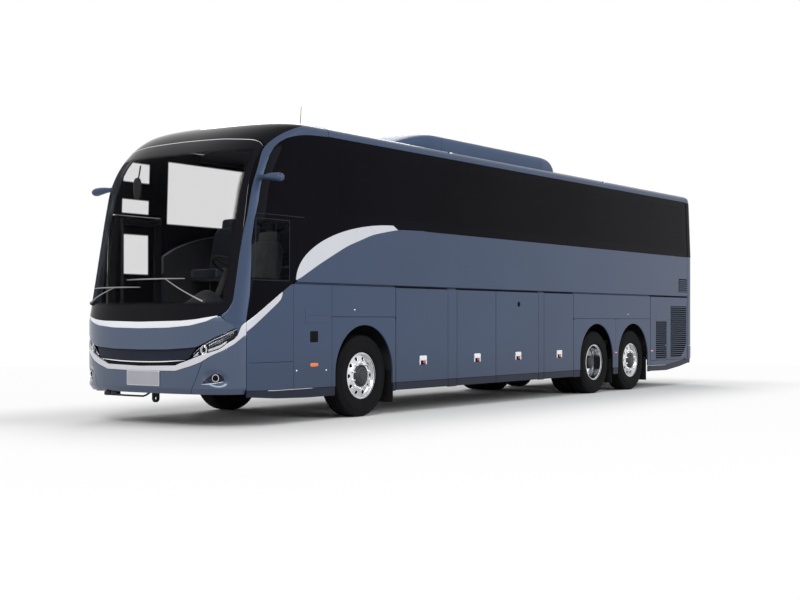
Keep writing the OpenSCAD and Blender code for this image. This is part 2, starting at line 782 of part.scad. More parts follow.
frame_front_y = front_y + 330;
rear_frame_y = arch_rear_y + 60;
post_front = bay_front_y - 20;
lug_y = [front_y + 260, rear_y - 190];
lug_z = [bumper_z - 40, tail_bumper_z - 410];
lug_r = 21;

module tow_lug(y, z, top) {
    difference() {
        union() {
            rod_x([-15, 15], y, z, 48);
            box([-15, 15], [y - 48, y + 48], [z, top]);
        }
        rod_x([-16, 16], y, z, lug_r);
    }
}

module chassis_frame() {
    color(iron) {
        rail_pair([frame_front_y, post_front], rail_z);
        rail_pair([bay_rear_y + 20, rear_frame_y], rail_z);
        // Rails and a cross member under the hold, welded between the end frames.
        rail_pair([post_front + seam, bay_rear_y + 20 - seam], under_z);
        box([-rail_x, rail_x], [(bay_front_y + bay_rear_y) / 2, (bay_front_y + bay_rear_y) / 2 + rail_w],
            under_z);
        // Drop posts at both ends of the hold.
        rail_pair([post_front - rail_w, post_front], [under_z[0], rail_z[0] + 1]);
        rail_pair([bay_rear_y + 20, bay_rear_y + 20 + rail_w], [under_z[0], rail_z[0] + 1]);
        // Cross members between the rails.
        for (y = [frame_front_y, axle1_y - 560, post_front - rail_w, bay_rear_y + 20,
            axle3_y - tag_spacing / 2,
            rear_frame_y - rail_w])
            box([-rail_x, rail_x], [y, y + rail_w], [rail_z[0] + 60, rail_z[1] - 60]);
        for (y = [post_front - rail_w, bay_rear_y + 20])
            box([-rail_x, rail_x], [y, y + rail_w], under_z);
        // Uprights under the decks.
        for (y = [frame_front_y + 200, arch_front_y - 440])
            rail_pair([y, y + rail_w], [rail_z[1] - 1, driver_deck_z - deck_t - seam]);
        for (y = [arch_front_y + 60, post_front - rail_w, bay_rear_y + 20, axle3_y - tag_spacing / 2,
            rear_frame_y - rail_w])
            rail_pair([y, y + rail_w], [rail_z[1] - 1, deck_z - deck_t - seam]);
        // Engine cradle behind the rails.
        rail_pair([rear_frame_y - rail_w, rear_frame_y], [cradle_z, rail_z[0] + 1]);
        rail_pair([rear_frame_y - rail_w, lug_y[1] + 60], [cradle_z, cradle_z + 60]);
        box([-rail_x, rail_x], [lug_y[1] - 60, lug_y[1] + 60], [cradle_z, cradle_z + 60]);
        // Beams that carry the bumper and the towing lugs.
        box([-rail_x, rail_x], [lug_y[0] - 50, lug_y[0] + 50], [bumper_z + 40, bumper_z + 110]);
        rail_pair([lug_y[0] - 50, frame_front_y + rail_w], [bumper_z + 40, bumper_z + 110]);
        rail_pair([frame_front_y, frame_front_y + rail_w], [bumper_z + 40, rail_z[0] + 1]);
        tow_lug(lug_y[0], lug_z[0], bumper_z + 41);
        tow_lug(lug_y[1], lug_z[1], cradle_z + 1);
    }
}

cradle_z = tail_bumper_z - 280;

module cabin_floor() {
    color(trim) {
        translate([0, 0, deck_z - deck_t]) linear_extrude(deck_t) polygon([[-deck_x, door_rear_y + 55],
            [well_x, door_rear_y + 55], [well_x, deck_front_y], [deck_x, deck_front_y],
            [deck_x, tail_y + 12],
            [shelf_x, tail_y + 12], [shelf_x, tail_y + tail_depth - wall - 60],
            [shelf_x - 340, rear_y - wall - 8],
            [340 - shelf_x, rear_y - wall - 8], [-shelf_x, tail_y + tail_depth - wall - 60],
            [-shelf_x, tail_y + 12],
            [-deck_x, tail_y + 12]]);
        translate([0, 0, driver_deck_z - deck_t]) linear_extrude(deck_t) polygon([[well_x, front_y + 330],
            [half - 300, front_y + 330], [half - wall - 60, front_y + 650],
            [half - wall - 60, deck_front_y + 1],
            [well_x, deck_front_y + 1]]);
        // Riser between the two decks.
        box([well_x, half - wall - 60], [deck_front_y, deck_front_y + 40],
            [driver_deck_z - deck_t, deck_z - deck_t + 1]);
    }
}

// The hold: a floor, end bulkheads and partitions behind the body posts.
hold_wall_t = 40;
hold_walls = [bay_front_y + hold_wall_t / 2, (flap_y[1] + flap_y[2]) / 2, (flap_y[4] + flap_y[5]) / 2,
    bay_rear_y - hold_wall_t / 2];
module luggage_hold() {
    x = half - flap_t - 8;
    color(trim) {
        box([-x, x], [bay_front_y, bay_rear_y], [hold_floor_z - hold_floor_t, hold_floor_z]);
        for (y = hold_walls)
            box([-x, x], [y - hold_wall_t / 2, y + hold_wall_t / 2],
                [hold_floor_z - 1, deck_z - deck_t - seam]);
        // Cleats that hold the body posts.
        mirror_copy() for (y = [hold_walls[1], hold_walls[2]])
            box([x + seam, half - flap_t - seam], [y - 60, y + 60], [hold_floor_z, deck_z - 2 * deck_t]);
    }
}

step_z = [skirt_z + 100, skirt_z + 350, skirt_z + 600];
well_x = -(rail_x + rail_w / 2 + 10);
module entry_steps() {
    outer = -(half - flap_t - 60);
    tread = 220;
    color(trim) difference() {
        union() {
            for (k = [0:2])
                box([outer + tread * k, well_x - seam], [door_front_y + 10, door_rear_y + 20],
                    [step_z[k] - 60, step_z[k]]);
            for (k = [1:2])
                box([outer + tread * k, outer + tread * k + 20], [door_front_y + 10, door_rear_y + 20],
                    [step_z[k - 1] - 1, step_z[k]]);
            box([outer, well_x - seam], [door_rear_y + 20, door_rear_y + 50],
                [step_z[0] - 60, deck_z - deck_t - seam]);
            box([well_x - 20, well_x - seam], [door_front_y + 10, door_rear_y + 50],
                [step_z[2] - 1, driver_deck_z]);
            translate([post_x, post_y, step_z[0] - 60]) cylinder(r = 34, h = 90);
        }
        translate([post_x, post_y, step_z[0]]) cylinder(r = post_r + pin_gap, h = 100);
    }
}

// ---- Inside ----

module dashboard() {
    y0 = nose_line(screen_foot_z - 100, wall) + 8;
    color(trim) {
        intersection() {
            across([-(half - 330), half - 330]) polygon([[y0 + 130, driver_deck_z + seam],
                [y0 + 130, screen_foot_z - 30], [y0 + 230, screen_foot_z + 130],
                [y0 + 480, screen_foot_z + 190],
                [y0 + 620, screen_foot_z + 60], [y0 + 560, driver_deck_z + seam]]);
            box([well_x, half], [front_y, 0], [0, roof_z]);
        }
    }
}

wheel_hub = [half - 600, front_y + 800, driver_deck_z + 720];
column_lean = -30;
module steering_wheel() {
    color(rubber) translate(wheel_hub) rotate([column_lean, 0, 0]) {
        rotate_extrude() translate([210, 0]) circle(r = 15);
        cylinder(r = 50, h = 24, center = true);
        for (a = [0:120:240]) rotate(a) box([0, 205], [-16, 16], [-8, 8]);
        translate([0, 0, -190]) cylinder(r = 18, h = 185);
    }
}

module steering_column() {
    color(trim) translate(wheel_hub) rotate([column_lean, 0, 0]) difference() {
        translate([0, 0, -620]) cylinder(r = 40, h = 560);
        translate([0, 0, -200]) cylinder(r = 18 + pin_gap, h = 150);
    }
}

// A seat from the side, facing the nose: cushion, back and headrest in one outline.
module seat_side() {
    polygon([[0, 300], [40, 470], [430, 440], [560, 1010], [600, 1150], [660, 1160], [680, 1010],
        [560, 400], [520, 320]]);
}

module seat(x, y, z, w) {
    translate([0, y, z]) {
        across([x - w / 2, x + w / 2]) seat_side();
        across([x - w / 4, x + w / 4]) polygon([[160, seam], [140, 318], [420, 318], [400, seam]]);
    }
}

module driver_seat() {
    color(cloth) seat(wheel_hub[0], wheel_hub[1] + 70, driver_deck_z, 500);
}

seat_front_y = deck_front_y + 200;
seat_rows = floor((tail_y - 60 - seat_front_y) / row_pitch);
module passenger_seats() {
    color(cloth) mirror_copy() for (k = [0:seat_rows - 1])
        seat(half - wall - 25 - seat_w / 2, seat_front_y + k * row_pitch, deck_z, seat_w);
}

module engine_block() {
    color(iron) box([-400, 400], [rear_frame_y + 90, lug_y[1] - 90],
        [cradle_z + 60 + seam, cradle_z + 60 + 820]);
}

module mudflap(y, x) {
    box(x, [y, y + 12], [150, arch_z]);
}

module mudflaps() {
    color(rubber) mirror_copy() {
        mudflap(axle1_y + arch_r + 56, [wheel_x - tyre_w / 2, half - flap_t - seam]);
        mudflap(axle2_y + arch_r + 10, [wheel_x - tyre_w / 2 - twin_pitch, half - flap_t - seam]);
        mudflap(axle3_y + arch_r + 10, [wheel_x - tyre_w / 2, half - flap_t - seam]);
    }
}

// ---- Axles ----

axle_hub_x = wheel_x + 105;
beam_w = 90;
spring_r = 95;

module air_spring(x, y, z0, z1) {
    translate([x, y, z0]) cylinder(r = spring_r, h = z1 - z0);
}

module front_axle() {
    drop_z = [tyre_r - 170, tyre_r - 60];
    color(iron) difference() {
        union() {
            box([-700, 700], [axle1_y - beam_w / 2, axle1_y + beam_w / 2], drop_z);
            mirror_copy() {
                box([620, kingpin_x], [axle1_y - beam_w / 2, axle1_y + beam_w / 2],
                    [tyre_r - 60, tyre_r + 60]);
                box([620, 700], [axle1_y - beam_w / 2, axle1_y + beam_w / 2], [drop_z[0], tyre_r + 60]);
                translate([kingpin_x, axle1_y, tyre_r - eye_h / 2]) cylinder(r = boss_r, h = eye_h);
                air_spring(rail_x, axle1_y, drop_z[1] - 1, rail_z[0] - seam);
            }
        }
        mirror_copy() translate([kingpin_x, axle1_y, tyre_r - eye_h]) cylinder(r = kingpin_r + pin_gap,
            h = 2 * eye_h);
    }
}

// A straight tube with trailing beams and four air springs; the spindles start at x = tube.
module rigid_axle(y, tube, tube_r, spindle, hub) {
    rod_x([-tube, tube], y, tyre_r, tube_r);
    mirror_copy() {
        rod_x([tube - 1, hub], y, tyre_r, spindle);
        box([rail_x - 45, rail_x + 45], [y - 480, y + 480], [tyre_r - 180, tyre_r - 120]);
        box([rail_x - 45, rail_x + 45], [y - 60, y + 60], [tyre_r - 121, tyre_r]);
        for (s = [-1, 1]) air_spring(rail_x, y + s * 380, tyre_r - 121, rail_z[0] - seam);
    }
}

module drive_axle() {
    color(iron) {
        rigid_axle(axle2_y, twin_x - twin_pitch / 2 - 70, 75, hub_r, twin_x + 120);
        translate([0, axle2_y, tyre_r]) sphere(r = 200);
        translate([0, axle2_y - 330, tyre_r]) rotate([-90, 0, 0]) cylinder(r = 80, h = 200);
    }
}

module tag_axle() {
    color(iron) rigid_axle(axle3_y, wheel_x - tyre_w / 2 - 55, 60, spindle_r, axle_hub_x);
}

module knuckle() {
    color(iron) {
        translate([0, 0, arm_z]) cylinder(r = kingpin_r, h = 2 * (tyre_r - arm_z));
        for (z = [arm_z, 2 * tyre_r - arm_z - ear_h]) {
            translate([0, 0, z]) cylinder(r = boss_r, h = ear_h);
            box([0, boss_r + 35], [-boss_r, boss_r], [z, z + ear_h]);
        }
        box([boss_r + 5, boss_r + 35], [-boss_r, boss_r], [arm_z, 2 * tyre_r - arm_z]);
        rod_x([boss_r + 34, axle_hub_x - kingpin_x], 0, tyre_r, spindle_r);
        // Steering arm with the ball's bore.
        difference() {
            union() {
                box([-20, 20], [0, steer_arm], [arm_z, arm_z + 30]);
                translate([0, steer_arm, arm_z]) cylinder(r = 28, h = 30);
            }
            translate([0, steer_arm, arm_z - 1]) cylinder(r = ball_r + pin_gap, h = 32);
        }
    }
}

module knuckle_left() {
    translate([kingpin_x, axle1_y, 0]) knuckle();
}

module knuckle_right() {
    translate([-kingpin_x, axle1_y, 0]) mirror([1, 0, 0]) knuckle();
}

// The rod's right end is loose in its bore: the linkage is opened there.
module tie_rod() {
    eye_top = arm_z - 6;
    color(iron) translate([0, axle1_y + steer_arm, 0]) {
        rod_x([-kingpin_x, kingpin_x], 0, eye_top - 16, 15);
        for (s = [-1, 1]) translate([s * kingpin_x, 0, 0]) {
            translate([0, 0, eye_top - 32]) cylinder(r = 26, h = 32);
            translate([0, 0, eye_top - 1]) cylinder(r = s > 0 ? ball_r : ball_r - 3, h = 34);
        }
    }
}

// ---- Wheels, turned about the X axis; x grows towards the wheel's outer face ----

module turned(x, y) {
    translate([x, y, tyre_r]) rotate([0, 90, 0]) rotate_extrude($fn = 96) children();
}

// Tyre section: a superellipse cut off at the bead.
module tyre_section(x) {
    mid_r = (tyre_r + rim_r) / 2;
    tall = tyre_r - mid_r;
    n = 9;
    bead_w = tyre_w * 0.4 - seam;
    translate([0, x]) polygon(concat(
        [[rim_r + seam, -bead_w], [rim_r + 22, -bead_w]],
        [for (k = [0:2 * n]) let (a = 180 * k / (2 * n) - 90)
            [mid_r + tall * pow(cos(a), 0.5), tyre_w / 2 * sign(sin(a)) * pow(abs(sin(a)), 0.5)]],
        [[rim_r + 22, bead_w], [rim_r + seam, bead_w]]));
}

module tyre(s, y, xs) {
    color(rubber) for (x = xs) turned(s * x, y) tyre_section(0);
}

// Rim barrel with flanges, centred on x.
module barrel(x) {
    w = tyre_w * 0.4;
    translate([0, x]) polygon([[rim_r - 10, -w], [rim_r + 17, -w - 12], [rim_r + 17, -w - 1], [rim_r, -w],
        [rim_r, w], [rim_r + 17, w + 1], [rim_r + 17, w + 12], [rim_r - 10, w]]);
}

disc_r = 225;
hand_holes = 10;
// A disc that bulges from the barrel towards dir, with its face at x.
module disc_section(x, root, t = 12) {
    d = x > root ? 1 : -1;
    polygon([[rim_r - 9, root - d * t], [rim_r - 9, root + d * t], [disc_r + 22, x - d * 30],
        [disc_r - 40, x],
        [hub_r + 22, x], [hub_r + 22, x - d * t], [disc_r - 40, x - d * t],
        [disc_r + 18, x - d * (30 + t)]]);
}

module rim_single(s, y) {
    cap = 150;
    color(alloy) translate([s * wheel_x, y, 0]) mirror([s > 0 ? 0 : 1, 0, 0]) difference() {
        union() {
            turned(0, 0) {
                barrel(0);
                disc_section(118, 60);
            }
            // Hub, bored for the spindle, with a brake disc.
            turned(0, 0) polygon([[spindle_r + pin_gap, -60], [spindle_r + pin_gap, 108], [0, 108],
                [0, cap - 5], [70, cap - 5],
                [hub_r + 31, 118], [hub_r + 31, -20], [215, -20], [215, -60]]);
        }
        for (k = [0:hand_holes - 1])
            translate([0, 0, tyre_r]) rotate([360 * k / hand_holes, 0, 0]) translate([0, 0, disc_r])
                rod_x([20, 160], 0, 0, 24);
    }
}

module rim_twins(s, y) {
    p = twin_pitch / 2;
    color(alloy) translate([s * twin_x, y, 0]) mirror([s > 0 ? 0 : 1, 0, 0]) difference() {
        union() {
            turned(0, 0) {
                barrel(p);
                disc_section(0.5, p - 60);
            }
            turned(0, 0) {
                barrel(-p);
                disc_section(-0.5, 60 - p);
            }
            turned(0, 0) polygon([[hub_r + pin_gap, -40], [hub_r + pin_gap, 121], [0, 121], [0, 160],
                [80, 160],
                [hub_r + 40, 130], [hub_r + 40, -40]]);
        }
        for (k = [0:hand_holes - 1])
            translate([0, 0, tyre_r]) rotate([360 * k / hand_holes, 0, 0]) translate([0, 0, disc_r - 4])
                rod_x([-90, 90], 0, 0, 22);
    }
}

chassis_frame();
cabin_floor();
luggage_hold();
skirt_panels();
side_walls();
side_windows();
roof();
ac_unit();
front_bumper();
front_grille();
front_mask();
windscreen();
front_pillars();
front_dome();
headlights();
wipers();
camera_mirrors();
rear_wall();
rear_window();
rear_bumper();
tail_lamps();
mudflaps();
union() {
    dashboard();
    steering_column();
}
driver_seat();
passenger_seats();
entry_steps();
engine_block();
front_axle();
drive_axle();
tag_axle();
luggage_flap(left_flaps[0]);  // luggage_flap_left_1
luggage_flap(left_flaps[1]);  // luggage_flap_left_2
luggage_flap(left_flaps[2]);  // luggage_flap_left_3
luggage_flap(left_flaps[3]);  // luggage_flap_left_4
mirror([1, 0, 0]) luggage_flap(right_flaps[0]);  // luggage_flap_right_1
mirror([1, 0, 0]) luggage_flap(right_flaps[1]);  // luggage_flap_right_2
mirror([1, 0, 0]) luggage_flap(right_flaps[2]);  // luggage_flap_right_3
radiator_door();
engine_lid();
passenger_door();
door_window();
door_arm();
knuckle_left();
knuckle_right();
tie_rod();
steering_wheel();
tyre(1, axle1_y, [wheel_x]);  // tyre_front_left
tyre(-1, axle1_y, [wheel_x]);  // tyre_front_right
tyre(1, axle2_y, [wheel_x, wheel_x - twin_pitch]);  // tyres_drive_left
tyre(-1, axle2_y, [wheel_x, wheel_x - twin_pitch]);  // tyres_drive_right
tyre(1, axle3_y, [wheel_x]);  // tyre_tag_left
tyre(-1, axle3_y, [wheel_x]);  // tyre_tag_right
rim_single(1, axle1_y);  // rim_front_left
rim_single(-1, axle1_y);  // rim_front_right
rim_twins(1, axle2_y);  // rims_drive_left
rim_twins(-1, axle2_y);  // rims_drive_right
rim_single(1, axle3_y);  // rim_tag_left
rim_single(-1, axle3_y);  // rim_tag_right
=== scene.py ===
import math
import bpy
import bmesh
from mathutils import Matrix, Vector
import numpy as np


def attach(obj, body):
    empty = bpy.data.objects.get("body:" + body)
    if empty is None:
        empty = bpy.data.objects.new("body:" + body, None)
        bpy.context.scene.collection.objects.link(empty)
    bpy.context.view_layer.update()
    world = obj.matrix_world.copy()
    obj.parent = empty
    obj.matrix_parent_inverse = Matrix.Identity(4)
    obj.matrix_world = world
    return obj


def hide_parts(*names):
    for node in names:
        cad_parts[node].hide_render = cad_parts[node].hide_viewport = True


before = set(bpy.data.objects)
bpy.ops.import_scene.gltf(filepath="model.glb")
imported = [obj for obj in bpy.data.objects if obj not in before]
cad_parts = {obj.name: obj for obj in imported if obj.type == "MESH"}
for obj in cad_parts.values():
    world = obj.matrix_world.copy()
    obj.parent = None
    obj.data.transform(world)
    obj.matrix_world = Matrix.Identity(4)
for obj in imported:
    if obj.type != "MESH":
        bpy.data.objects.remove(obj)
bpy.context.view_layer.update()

print("frame loaded:", len(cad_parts), "nodes")

# The body's levels and lengths in metres, as the frame has them.
shape = {"half": 1.275, "front": -6.6, "rear": 6.6, "roof": 3.645, "waist": 1.667, "sill": 2.43,
    "glassTop": 3.48, "lean": 0.04, "roofPower": 4, "nosePower": 3, "noseDepth": 0.7, "screenFoot": 1.215,
    "screenSlope": 0.2, "domeStart": 2.7, "domeDepth": 1.0, "tailStart": 6.28, "tailPower": 5,
    "tailTop": 0.3, "tailDrop": 0.22}


# Corner numbers of the cells of a grid with rows by cols points, wrapping where it closes.
def gridFaces(rows, cols, wrapRows=False, wrapCols=False):
    i, j = np.meshgrid(np.arange(rows if wrapRows else rows - 1), np.arange(cols if wrapCols else cols - 1),
        indexing="ij")
    down, right = (i + 1) % rows, (j + 1) % cols
    return np.stack([i * cols + j, i * cols + right, down * cols + right, down * cols + j],
        -1).reshape(-1, 4)


# A closed wall: the outer grid, the inner grid turned round, and a strip between their four edges.
def wallBetween(outer, inner):
    rows, cols = outer.shape[:2]
    count = rows * cols
    number = np.arange(count).reshape(rows, cols)
    edge = np.concatenate([number[0], number[1:, -1], number[-1, -2::-1], number[-2:0:-1, 0]])
    following = np.roll(edge, -1)
    cells = gridFaces(rows, cols)
    faces = np.concatenate([cells, cells[:, ::-1] + count,
                            np.stack([edge, edge + count, following + count, following], -1)])
    return np.concatenate([outer.reshape(-1, 3), inner.reshape(-1, 3)]), faces


# Outward direction of a surface at u, v: the cross product of its slopes along u and along v.
def normals(surface, u, v, step=1e-3):
    n = np.cross(surface(u + step, v) - surface(u - step, v), surface(u, v + step) - surface(u, v - step))
    return n / np.maximum(np.linalg.norm(n, axis=-1, keepdims=True), 1e-12)


# Shares from 0 to 1 along a side of the given length, with two more near each end where the edge
# rolls over, and how far a quarter circle of radius lip has dropped there.
def rollStations(count, length, lip):
    near = min(lip / max(length, 1e-6), 0.2)
    hold = min(4 * near, 0.3)
    shares = np.concatenate([[0, 0.3 * near, near], np.linspace(hold, 1 - hold, count),
            [1 - near, 1 - 0.3 * near, 1]])
    drops = np.zeros(len(shares))
    drops[[0, -1]] = lip
    drops[[1, -2]] = lip * (1 - math.sqrt(1 - 0.7 ** 2))
    return shares, drops


# A sheet over surface(u, v) with its edges rolled down by lip and its back at the given depth.
def panel(surface, length, height, cols, rows, thick=0.012, lip=0.004, lift=0.0):
    u, du = rollStations(cols, length, lip)
    v, dv = rollStations(rows, height, lip)
    uu, vv = np.meshgrid(u, v)
    place = surface(uu, vv)
    out = normals(surface, uu, vv)
    drop = np.maximum.outer(dv, du)[..., None]
    return wallBetween(place + out * (lift - drop), place + out * (lift - thick))


# A surface turned about the X axis through centre: each (x, r) of the profile goes round at every
# angle. A profile that starts and ends on the axis closes it.
def turnedX(profile, centre, count=64, side=1):
    profile = np.asarray(profile, float)
    angle = np.linspace(0, 2 * math.pi, count, endpoint=False)
    x = np.broadcast_to(profile[:, :1] * side, (len(profile), count))
    y = profile[:, 1:2] * np.cos(angle)
    z = profile[:, 1:2] * np.sin(angle)
    return np.stack([x, y, z], -1).reshape(-1, 3) + centre, gridFaces(len(profile), count, False, True)


# The same about an axis with any direction: along is its way, and the profile is (distance, r).
def turnedAlong(profile, centre, along, count=32):
    points, faces = turnedX(profile, (0, 0, 0), count)
    along = np.asarray(along, float) / np.linalg.norm(along)
    helper = np.array([0, 0, 1.0]) if abs(along[2]) < 0.9 else np.array([0, 1.0, 0])
    side = np.cross(helper, along)
    side /= np.linalg.norm(side)
    return points @ np.stack([along, side, np.cross(along, side)]) + centre, faces


# A tube: a circle of the given radius, carried square to the path, with closed ends. The radius
# may change along the path, and flat squeezes the circle across.
def tube(path, radius, count=10, flat=1.0):
    path = np.asarray(path, float)
    radius = np.broadcast_to(np.asarray(radius, float), len(path))
    ahead = np.gradient(path, axis=0)
    ahead /= np.linalg.norm(ahead, axis=1, keepdims=True)
    # the first axis that the path never follows
    steep = [i for i in (2, 0, 1) if abs(ahead[:, i]).max() < 0.95]
    across = np.cross(ahead, np.eye(3)[steep[0] if steep else 0])
    across /= np.linalg.norm(across, axis=1, keepdims=True)
    up = np.cross(across, ahead)
    angle = np.linspace(0, 2 * math.pi, count, endpoint=False)
    cosine, sine = np.cos(angle)[None, :, None], np.sin(angle)[None, :, None]
    ring = across[:, None] * cosine + flat * up[:, None] * sine
    rings = path[:, None] + ring * radius[:, None, None]
    rings = np.concatenate([np.repeat(path[:1, None], count, 1), rings,
            np.repeat(path[-1:, None], count, 1)])
    return rings.reshape(-1, 3), gridFaces(len(rings), count, False, True)


# A rounded block: a superellipsoid, whose sine and cosine are raised to a small power.
def softBlock(low, high, power=0.25, count=20):
    low, high = np.asarray(low, float), np.asarray(high, float)
    u = np.linspace(-math.pi, math.pi, 2 * count, endpoint=False)
    v = np.linspace(-math.pi / 2, math.pi / 2, count)
    vv, uu = np.meshgrid(v, u, indexing="ij")
    bend = lambda a: np.sign(a) * np.abs(a) ** power
    unit = np.stack([bend(np.cos(vv)) * bend(np.cos(uu)), bend(np.cos(vv)) * bend(np.sin(uu)),
            bend(np.sin(vv))], -1)
    return (unit * (high - low) / 2 + (high + low) / 2).reshape(-1, 3), gridFaces(count,
        2 * count, False, True)


# A prism: the outline in two axes, carried along the third from start to end, with a roll at both
# rims: the outline shrinks towards its middle by lip there.
def prism(outline, axis, start, end, lip=0.0):
    outline = np.asarray(outline, float)
    middle = outline.mean(0)
    away = outline - middle
    shrink = 1 - lip / np.maximum(np.linalg.norm(away, axis=1, keepdims=True), lip * 2 + 1e-9)
    small = middle + away * shrink
    sign = 1 if end > start else -1
    stations = [(start, np.repeat(middle[None], len(outline), 0)), (start, small),
        (start + sign * lip, outline), (end - sign * lip, outline), (end, small),
        (end, np.repeat(middle[None], len(outline), 0))]
    others = [a for a in range(3) if a != axis]
    rings = np.zeros((len(stations), len(outline), 3))
    for k, (where, ring) in enumerate(stations):
        rings[k, :, axis] = where
        rings[k, :, others[0]] = ring[:, 0]
        rings[k, :, others[1]] = ring[:, 1]
    return rings.reshape(-1, 3), gridFaces(len(stations), len(outline), False, True)


# A part turned over to the right side: X changes sign and the faces are read backwards.
def mirrored(part):
    return part[0] * np.array([-1, 1, 1]), part[1][:, ::-1]


# The part as it is for the left side, mirrored for the right.
def onSide(s, part):
    return part if s > 0 else mirrored(part)


# Makes one object of the parts: doubles merged, faces turned out, smooth with sharp edges kept.
def piece(name, parts, finishName, ridesOn, sharp=40, recalc=True):
    parts = parts if isinstance(parts, list) else [parts]
    offsets = np.cumsum([0] + [len(p[0]) for p in parts])
    points = np.concatenate([p[0] for p in parts])
    faces = np.concatenate([p[1] + offsets[k] for k, p in enumerate(parts)])
    mesh = bpy.data.meshes.new(name)
    mesh.vertices.add(len(points))
    mesh.vertices.foreach_set("co", points.astype(np.float32).ravel())
    mesh.loops.add(faces.size)
    mesh.loops.foreach_set("vertex_index", faces.astype(np.int32).ravel())
    mesh.polygons.add(len(faces))
    mesh.polygons.foreach_set("loop_start", np.arange(0, faces.size, 4, dtype=np.int32))
    mesh.update(calc_edges=True)
    mesh.validate()
    work = bmesh.new()
    work.from_mesh(mesh)
    bmesh.ops.remove_doubles(work, verts=work.verts, dist=2e-5)
    bmesh.ops.dissolve_degenerate(work, edges=work.edges, dist=1e-6)
    if recalc:
        bmesh.ops.recalc_face_normals(work, faces=work.faces)
    work.to_mesh(mesh)
    work.free()
    mesh.shade_smooth()
    mesh.set_sharp_from_angle(angle=math.radians(sharp))
    made = bpy.data.objects.new(name, mesh)
    bpy.context.scene.collection.objects.link(made)
    mesh.materials.append(finishes[finishName])
    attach(made, ridesOn)
    return made


finishes = {}


# A shader node: settings first, then each socket takes a plain value or another node's output.
def addNode(tree, kind, sockets, **settings):
    made = tree.nodes.new("ShaderNode" + kind)
    for key, value in settings.items():
        setattr(made, key, value)
    for key, value in sockets.items():
        if isinstance(value, bpy.types.NodeSocket):
            tree.links.new(value, made.inputs[key])
        else:
            made.inputs[key].default_value = value
    return made


# One arithmetic node of the named kind.
def mathNode(tree, kind, *values, clamp=False):
    return addNode(tree, "Math", dict(enumerate(values)), operation=kind, use_clamp=clamp).outputs[0]


# A value read between two places and carried to a top, with a soft start and end.
def softRise(tree, value, start, stop, top=1.0):
    return addNode(tree, "MapRange", {"Value": value, "From Min": start, "From Max": stop, "To Max": top},
                   interpolation_type="SMOOTHSTEP").outputs[0]


# 1 for what the eye sees directly, in a mirror or through glass, 0 for light on its way.
def seenRays(tree):
    eyes = addNode(tree, "LightPath", {}).outputs
    some = mathNode(tree, "ADD", eyes["Is Camera Ray"], eyes["Is Glossy Ray"])
    return mathNode(tree, "ADD", some, eyes["Is Transmission Ray"], clamp=True)


socketNames = {"coat": "Coat Weight", "coatRough": "Coat Roughness", "level": "Specular IOR Level",
               "sheen": "Sheen Weight", "alpha": "Alpha"}


# A material whose colour wanders between two shades of a wide noise, and whose bump and roughness
# follow a fine one. Its other values stay on the shader's own sockets.
def finish(name, color, rough=0.5, metal=0.0, vary=(1.5, 0.06), grain=(300, 0.05), roughVary=0.05,
        dust=0.0, **sockets):
    made = bpy.data.materials.new(name)
    made.use_nodes = True
    tree = made.node_tree
    shader = tree.nodes["Principled BSDF"]
    shader.inputs["Metallic"].default_value = metal
    for key, value in sockets.items():
        shader.inputs[socketNames[key]].default_value = value
    place = addNode(tree, "TexCoord", {}).outputs["Object"]
    wide = addNode(tree, "TexNoise", {"Vector": place, "Scale": vary[0], "Detail": 4}).outputs["Fac"]
    fine = addNode(tree, "TexNoise", {"Vector": place, "Scale": grain[0], "Detail": 3}).outputs["Fac"]
    ramp = addNode(tree, "ValToRGB", {"Fac": wide})
    for stop, at, sign in zip(ramp.color_ramp.elements, (0.3, 0.7), (-1, 1)):
        stop.position = at
        stop.color = [min(1, c * (1 + sign * vary[1])) for c in color] + [1]
    shade = ramp.outputs["Color"]
    if dust:
        # Road dust: more of a dull tone low down.
        height = addNode(tree, "SeparateXYZ", {"Vector": place}).outputs["Z"]
        low = addNode(tree, "MapRange", {"Value": height, "From Min": 0.95, "From Max": 0.25,
                "To Max": dust})
        shade = addNode(tree, "Mix", {"Factor": low.outputs[0], "A": shade,
                                      "B": (0.032, 0.033, 0.036, 1)}, data_type="RGBA").outputs["Result"]
    spread = addNode(tree, "MapRange", {"Value": wide, "To Min": max(0.02, rough - roughVary),
                                        "To Max": min(1, rough + roughVary)})
    bump = addNode(tree, "Bump", {"Height": fine, "Strength": grain[1], "Distance": 0.002})
    for source, key in ((shade, "Base Color"), (spread.outputs[0], "Roughness"),
            (bump.outputs[0], "Normal")):
        tree.links.new(source, shader.inputs[key])
    finishes[name] = made
    return made


slate = (0.046, 0.069, 0.124)
finish("slatePaint", slate, 0.3, 0.3, (0.7, 0.05), (900, 0.02), 0.03, 0.2, coat=0.07,
    coatRough=0.08, level=0.16)
finish("nosePaint", (0.05, 0.076, 0.134), 0.28, 0.3, (0.7, 0.05), (900, 0.02), 0.03, 0.1, coat=0.5,
    coatRough=0.06, level=0.3)
finish("roofPaint", (0.052, 0.082, 0.148), 0.6, 0.2, (0.7, 0.05), (900, 0.02), 0.03, level=0.06)
finish("darkStrip", (0.010, 0.015, 0.032), 0.4, 0.1, (2, 0.1), (700, 0.03), dust=0.2, level=0.15)
finish("paleStripe", (0.56, 0.57, 0.62), 0.28, 0.25, (1, 0.03), (900, 0.02), coat=0.6, coatRough=0.06)
finish("silverStrip", (0.78, 0.79, 0.83), 0.18, 0.6, (1, 0.03), (900, 0.02), coat=0.5, coatRough=0.05)
finish("blackGlass", (0.003, 0.003, 0.005), 0.06, 0, (0.4, 0.3), (4, 0.02), 0.02, level=0.022)
finish("domeBlack", (0.004, 0.004, 0.006), 0.09, 0, (0.4, 0.2), (4, 0.02), 0.02, level=0.05)
finish("blackTrim", (0.010, 0.010, 0.012), 0.45, 0, (4, 0.15), (1200, 0.2), level=0.25)
